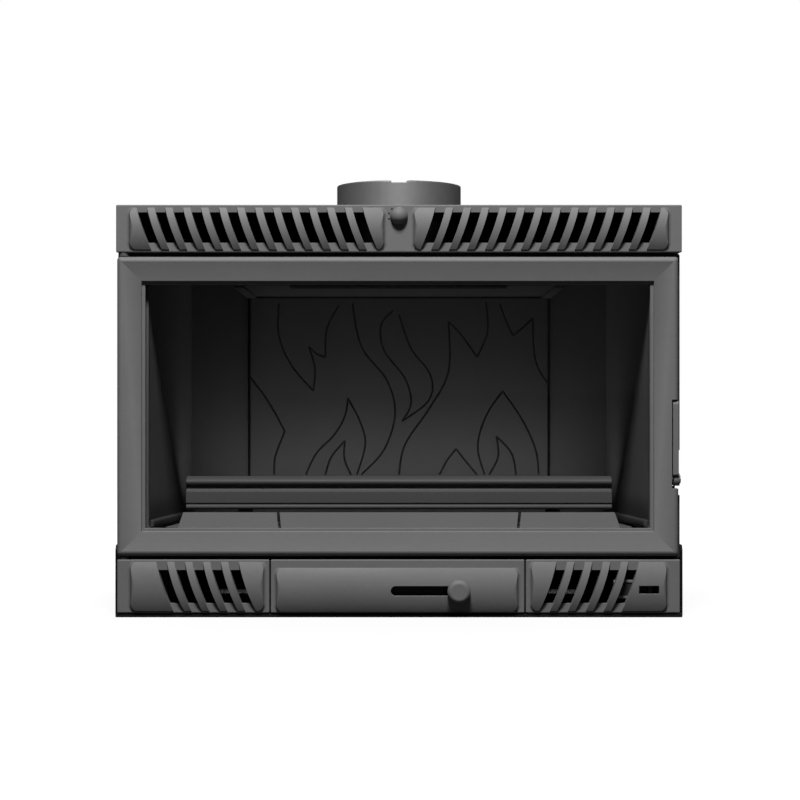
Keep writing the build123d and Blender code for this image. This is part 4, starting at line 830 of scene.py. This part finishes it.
# The fireback's ornament: flame outlines, each a smooth line through points that are given as
# shares of the plate's width and of its height above the flames' feet, from the left.
FLAME_LINES = (
    ((0.085, 0.0), (0.088, 0.1), (0.12, 0.245)), ((0.12, 0.245), (0.065, 0.41), (0.0, 0.56)),
    ((0.19, 0.0), (0.225, 0.12), (0.285, 0.225), (0.32, 0.33), (0.33, 0.43)),
    ((0.33, 0.43), (0.37, 0.3), (0.388, 0.17), (0.36, 0.0)),
    ((0.255, 0.0), (0.275, 0.1), (0.32, 0.19)), ((0.32, 0.19), (0.318, 0.09), (0.34, 0.0)),
    ((0.375, 0.0), (0.45, 0.14), (0.487, 0.34), (0.46, 0.53), (0.375, 0.72), (0.345, 0.96)),
    ((0.51, 0.3), (0.6, 0.42), (0.605, 0.56), (0.54, 0.71), (0.5, 0.9)),
    ((0.51, 0.3), (0.54, 0.4), (0.52, 0.54), (0.45, 0.7), (0.44, 0.84), (0.48, 0.92)),
    ((0.5, 0.0), (0.52, 0.17), (0.6, 0.37), (0.665, 0.58), (0.665, 0.86)),
    ((0.665, 0.86), (0.71, 0.78), (0.76, 0.66)), ((0.76, 0.66), (0.795, 0.8), (0.79, 0.97)),
    ((0.215, 0.47), (0.14, 0.62), (0.1, 0.78), (0.1, 0.96)), ((0.215, 0.47), (0.22, 0.6), (0.2, 0.72)),
    ((0.2, 0.72), (0.225, 0.68), (0.255, 0.66)), ((0.255, 0.66), (0.26, 0.82), (0.3, 0.95)),
    ((0.635, 0.0), (0.66, 0.08), (0.69, 0.145)), ((0.69, 0.145), (0.72, 0.08), (0.76, 0.0)),
    ((0.785, 0.0), (0.762, 0.16), (0.79, 0.33), (0.845, 0.47)),
    ((0.845, 0.47), (0.91, 0.31), (0.955, 0.14), (0.965, 0.0)),
    ((0.8, 0.0), (0.83, 0.1), (0.825, 0.215)), ((0.825, 0.215), (0.875, 0.12), (0.89, 0.0)),
    ((1.0, 0.5), (0.955, 0.64), (0.945, 0.88)), ((0.945, 0.88), (0.915, 0.83), (0.88, 0.78)),
    ((0.88, 0.78), (0.855, 0.87), (0.835, 0.96)),
)


def build_incised_lines(name):
    """Cuts a round-bottomed groove along smooth lines into a plate."""
    tree, given = geometry_tree(name, {"Plate": None, "Width": 0.0022, "Step": 0.005})
    lines = add(tree, "GeometryNodeMeshToCurve", {"Mesh": given["Geometry"]}).outputs["Curve"]
    smooth = add(tree, "GeometryNodeCurveSplineType", {"Curve": lines},
                 spline_type="CATMULL_ROM").outputs["Curve"]
    even = add(tree, "GeometryNodeResampleCurve", {"Curve": smooth, "Length": given["Step"]},
               mode="LENGTH").outputs["Curve"]
    profile = add(tree, "GeometryNodeCurvePrimitiveCircle", {
        "Resolution": 8, "Radius": times(tree, given["Width"], 0.5)}).outputs["Curve"]
    tools = add(tree, "GeometryNodeCurveToMesh",
                {"Curve": even, "Profile Curve": profile, "Fill Caps": True}).outputs["Mesh"]
    plate = add(tree, "GeometryNodeObjectInfo", {"Object": given["Plate"]}).outputs["Geometry"]
    cut = add(tree, "GeometryNodeMeshBoolean",
              {"Mesh 1": plate, "Mesh 2": tools, "Self Intersection": True},
              operation="DIFFERENCE", solver="EXACT")
    return close_tree(tree, given, cut.outputs["Mesh"])


def incised_fireback(node, look):
    """The fireback with its flame lines."""
    low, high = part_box(node)
    width = high.x - low.x
    height = high.z - low.z - FLAME_FOOT
    points = []
    edges = []
    for line in FLAME_LINES:
        first = len(points)
        points.extend((low.x + across * width, low.y, low.z + FLAME_FOOT + up * height)
                      for across, up in line)
        edges.extend((index, index + 1) for index in range(first, len(points) - 1))
    plate = make_object(round_arrises(node, castings().body_arris), "fireback blank", finish(look))
    mesh = run_tree(shared("Incised Lines", build_incised_lines), points, edges,
                    {"Plate": plate, "Width": castings().flame_line_width, "Finish": finish(look)})
    bpy.data.objects.remove(plate)
    form = bmesh.new()
    form.from_mesh(mesh)
    return stand_for(make_object(form, "fireback_casting", finish(look), MITRE), node)


def index_dots():
    """Three shallow painted dots beside the damper knob that mark how far it is turned."""
    mesh = bmesh.new()
    facing = Matrix.Rotation(math.pi / 2, 4, "X")
    for x, z in INDEX_DOTS:
        bmesh.ops.create_cone(mesh, cap_ends=True, segments=16, radius1=DOT_RADIUS, radius2=DOT_RADIUS,
                              depth=2 * DOT_RISE, matrix=Matrix.Translation((x, FRONT_LANDS, z)) @ facing)
    dots = make_object(mesh, "damper_index_dots", finish("black paint"))
    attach(dots, BODY_OF["hood_grille"])


# ---- Studio ----------------------------------------------------------------------------
FLOOR_RADIUS = 30.0
SHELL_RADIUS = 28.0
FLOOR_DROP = 0.0002          # of the floor below what stands on it
STRIP_SIZE = (0.52, 0.06)
STRIP_RISE = 0.05            # of the chamber light above the bed
STRIP_AIM = 0.6              # share of the fireback's top level that the chamber light looks at


def hang_backdrop():
    """A white shell round the room that only shows through glass."""
    material, tree = blank_material("white backdrop")
    surface(tree, add(tree, "ShaderNodeEmission", {"Color": WHITE, "Strength": 1.0}).outputs[0])
    material.cycles.emission_sampling = "NONE"
    mesh = bmesh.new()
    bmesh.ops.create_icosphere(mesh, subdivisions=3, radius=SHELL_RADIUS)
    shell = make_object(mesh, "studio_backdrop", material)
    for rays in ("camera", "diffuse", "glossy", "shadow"):
        setattr(shell, "visible_" + rays, False)


def lay_floor():
    """A pale floor that goes over into the white of the backdrop away from the object."""
    material, tree = blank_material("pale floor")
    place = object_place(tree)
    speckle = noise(tree, place, scale=3.0, detail=3.0)
    away = vector_maths(tree, "LENGTH", {0: place}, "Value")
    seen = add(tree, "ShaderNodeLightPath").outputs["Is Camera Ray"]
    surface(tree, principled(tree, {
        "Base Color": colour_mix(tree, (0.05, 0.05, 0.05), (0.055, 0.055, 0.055), speckle),
        "Roughness": 0.9, "Specular IOR Level": 0.1, "Emission Color": WHITE,
        "Emission Strength": times(tree, seen, ramp(tree, away, 0.2, 1.0, 0.9, 1.0))}))
    mesh = bmesh.new()
    bmesh.ops.create_circle(mesh, cap_ends=True, segments=96, radius=FLOOR_RADIUS)
    floor = make_object(mesh, "studio_floor", material)
    floor.data.transform(Matrix.Translation((0.0, 0.0, -FLOOR_DROP)))
    floor.visible_transmission = False


def area_light(name, place, aim, size, power):
    light = bpy.data.lights.new(name, "AREA")
    light.shape = "RECTANGLE"
    light.size, light.size_y = size
    light.energy = power
    lamp = bpy.data.objects.new(name, light)
    lamp.location = place
    lamp.rotation_euler = (Vector(aim) - Vector(place)).to_track_quat("-Z", "Y").to_euler()
    bpy.context.scene.collection.objects.link(lamp)
    return lamp


def light_chamber(power):
    """A low strip behind the log retainer that brightens the back of the fire chamber."""
    bed, back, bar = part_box("hearth_bed"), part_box("fireback_plate"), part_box("log_retainer")
    place = (0.0, (bar[1].y + back[0].y) / 2.0, bed[1].z + STRIP_RISE)
    aim = (0.0, back[0].y, back[1].z * STRIP_AIM)
    lamp = area_light("chamber light", place, aim, STRIP_SIZE, power)
    for rays in ("camera", "glossy", "transmission"):
        setattr(lamp, "visible_" + rays, False)


def light_room(scene, studio):
    """Lights over the front, beside the camera and behind the object, in a white room."""
    scene.view_settings.view_transform = "Standard"
    area_light("key light", (-0.1, -2.1, 3.07), (0.0, -0.2, 0.25), (0.7, 0.7), studio.key_power)
    area_light("fill light", (0.4, -3.6, 0.9), (0.0, 0.0, 0.25), (1.6, 1.2), studio.fill_power)
    area_light("back light", (0.3, 3.2, 2.2), (0.0, 0.2, 0.25), (2.4, 1.6), studio.back_power)
    light_chamber(studio.chamber_power)
    scene.world = scene.world or bpy.data.worlds.new("pale room")
    scene.world.use_nodes = True
    tree = scene.world.node_tree
    tree.nodes.clear()
    seen = add(tree, "ShaderNodeLightPath").outputs["Is Camera Ray"]
    room, plain = (add(tree, "ShaderNodeBackground", {"Color": WHITE, "Strength": level}).outputs[0]
                   for level in (studio.sky, 1.0))
    both = add(tree, "ShaderNodeMixShader", {0: seen, 1: room, 2: plain}).outputs[0]
    add(tree, "ShaderNodeOutputWorld", {"Surface": both})


def set_camera(scene, studio):
    """A level camera before the front, whose picture is shifted to frame the object."""
    lens = bpy.data.cameras.new("camera")
    lens.lens = studio.lens
    lens.sensor_width = 36.0
    lens.shift_x = studio.sideways
    lens.shift_y = studio.horizon_drop
    lens.clip_end = 100.0
    camera = bpy.data.objects.new("camera", lens)
    camera.location = (0.0, FRONT_LANDS - studio.camera_distance, studio.camera_height)
    camera.rotation_euler = (math.pi / 2, 0.0, 0.0)
    scene.collection.objects.link(camera)
    scene.camera = camera


# ---- Operators and panel ---------------------------------------------------------------
class FIREPLACE_OT_front_plates(bpy.types.Operator):
    """Hood, lower grilles and drawer front"""
    bl_idname = "fireplace.front_plates"
    bl_label = "Front plates"

    def execute(self, context):
        for node in ("hood_grille", "lower_left_grille", "lower_right_grille", "ash_drawer_front"):
            kept(node, "front casting")
        return {"FINISHED"}


class FIREPLACE_OT_door(bpy.types.Operator):
    """Door frame with its latch"""
    bl_idname = "fireplace.door"
    bl_label = "Door"

    def execute(self, context):
        softened("door_frame", "door_casting", "front casting", castings().plate_arris, MITRE)
        softened("latch_lever", "latch_casting", "front casting", castings().plate_arris)
        fitting("latch_pivot", "latch_pin", "turned steel")
        return {"FINISHED"}


class FIREPLACE_OT_glass(bpy.types.Operator):
    """Stove glass with its tape, clips and screws, and the door's rope seal"""
    bl_idname = "fireplace.glass"
    bl_label = "Glass"

    def execute(self, context):
        fitting("door_glass", "stove_pane", "stove glass")
        fitting("glass_gasket", "glass_tape", "rope fibre")
        fitting("glass_clips", "pane_clips", "turned steel")
        bolts("glass_clip_screws", "clip_bolts", across=0.007, height=0.002, flange=0.0068, shank=0.004)
        rope_seal("door_seal", "rope fibre")
        return {"FINISHED"}


class FIREPLACE_OT_knobs(bpy.types.Operator):
    """Knobs of the damper and of the primary air slide, and the damper's index dots"""
    bl_idname = "fireplace.knobs"
    bl_label = "Knobs"

    def execute(self, context):
        fitting("damper_knob", "damper_button", "front casting")
        fitting("air_knob", "air_button", "front casting")
        index_dots()
        return {"FINISHED"}


class FIREPLACE_OT_linings(bpy.types.Operator):
    """Side liners, back panels and fireback of the fire chamber"""
    bl_idname = "fireplace.linings"
    bl_label = "Chamber linings"

    def execute(self, context):
        cast("liner casting", "side_liner_left", "side_liner_right")
        cast("chamber casting", "back_panel_left", "back_panel_right")
        incised_fireback("fireback_plate", "fireback casting")
        return {"FINISHED"}


class FIREPLACE_OT_hearth(bpy.types.Operator):
    """Sill, bed, grate and log retainer"""
    bl_idname = "fireplace.hearth"
    bl_label = "Hearth"

    def execute(self, context):
        cast("hearth casting", "hearth_ledge_left", "hearth_ledge_middle", "hearth_ledge_right")
        cast("bar casting", "log_retainer")
        cast("chamber casting", "hearth_bed", "fire_grate")
        return {"FINISHED"}


class FIREPLACE_OT_smoke_way(bpy.types.Operator):
    """Baffle, its rails, the flue collar and the damper inside it"""
    bl_idname = "fireplace.smoke_way"
    bl_label = "Smoke way"

    def execute(self, context):
        cast("chamber casting", "baffle_plate", "baffle_rail_left", "baffle_rail_right", "damper_flap")
        softened("flue_collar", "collar_casting", "collar casting", castings().body_arris)
        bolts("collar_bolts", "flange_bolts", across=0.015, height=0.0055, flange=0.019, shank=0.008,
              rising=0.0)
        turned("damper_spindle", "damper_set_screws", "spindle_clip")
        return {"FINISHED"}


class FIREPLACE_OT_firebox(bpy.types.Operator):
    """Firebox castings, front frame, legs, hinge pins and catch spring"""
    bl_idname = "fireplace.firebox"
    bl_label = "Firebox"

    def execute(self, context):
        cast("body casting", "firebox_floor", "firebox_side_left", "firebox_side_right",
             "firebox_back", "firebox_top", "front_frame", "body_legs")
        turned("hinge_pins", "catch_spring")
        return {"FINISHED"}


class FIREPLACE_OT_casing(bpy.types.Operator):
    """Convection casing with its collar ring and screws, the skirts and the base plate"""
    bl_idname = "fireplace.casing"
    bl_label = "Casing"

    def execute(self, context):
        bent("painted sheet", "casing_left", "casing_right", "casing_back", "casing_top", "collar_ring")
        # The skirts and the base plate get near-black that stands in for the shade they lie in.
        bent("black paint", "side_skirt_left", "side_skirt_right", "base_plate")
        bolts("casing_screws", "sheet_screws", across=0.009, height=0.0024, flange=0.0095, shank=0.005,
              rising=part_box("casing_top")[0].z)
        return {"FINISHED"}


class FIREPLACE_OT_ash_drawer(bpy.types.Operator):
    """Ash pan, its guides and stop, and both air slides"""
    bl_idname = "fireplace.ash_drawer"
    bl_label = "Ash drawer and air slides"

    def execute(self, context):
        bent("painted sheet", "ash_pan", "drawer_guide_left", "drawer_guide_right", "drawer_stop",
             "slider_guides")
        bent("slide sheet", "air_slide", "secondary_air_slide")
        bolts("drawer_screws", "pan_screws", across=0.009, height=0.0024, flange=0.0088, shank=0.005)
        return {"FINISHED"}


class FIREPLACE_OT_studio(bpy.types.Operator):
    """Pale floor, soft lights and the camera"""
    bl_idname = "fireplace.studio"
    bl_label = "Studio"

    def execute(self, context):
        studio = context.scene.fireplace_studio
        lay_floor()
        hang_backdrop()
        light_room(context.scene, studio)
        set_camera(context.scene, studio)
        return {"FINISHED"}


class FIREPLACE_PT_panel(bpy.types.Panel):
    """Lists the fireplace insert's settings and makers"""
    bl_idname = "FIREPLACE_PT_panel"
    bl_label = "Fireplace insert"
    bl_space_type = "VIEW_3D"
    bl_region_type = "UI"
    bl_category = "Fireplace"

    def draw(self, context):
        for setting in GROUPS:
            group = getattr(context.scene, setting)
            box = self.layout.box()
            for name in group.__annotations__:
                box.prop(group, name)
        for maker in MAKERS:
            self.layout.operator(maker.bl_idname)


GROUPS = {"fireplace_castings": FireplaceCastings, "fireplace_finishes": FireplaceFinishes,
          "fireplace_studio": FireplaceStudio}
MAKERS = (
    FIREPLACE_OT_front_plates, FIREPLACE_OT_door, FIREPLACE_OT_glass, FIREPLACE_OT_knobs,
    FIREPLACE_OT_linings, FIREPLACE_OT_hearth, FIREPLACE_OT_smoke_way, FIREPLACE_OT_firebox,
    FIREPLACE_OT_casing, FIREPLACE_OT_ash_drawer, FIREPLACE_OT_studio,
)
CLASSES = (*GROUPS.values(), *MAKERS, FIREPLACE_PT_panel)


def register():
    for cls in CLASSES:
        bpy.utils.register_class(cls)
    for name, group in GROUPS.items():
        setattr(bpy.types.Scene, name, PointerProperty(type=group))


def unregister():
    for name in GROUPS:
        delattr(bpy.types.Scene, name)
    for cls in reversed(CLASSES):
        bpy.utils.unregister_class(cls)


def main():
    register()
    for maker in MAKERS:
        getattr(bpy.ops.fireplace, maker.bl_idname.split(".")[1])()


if __name__ == "__main__":
    main()
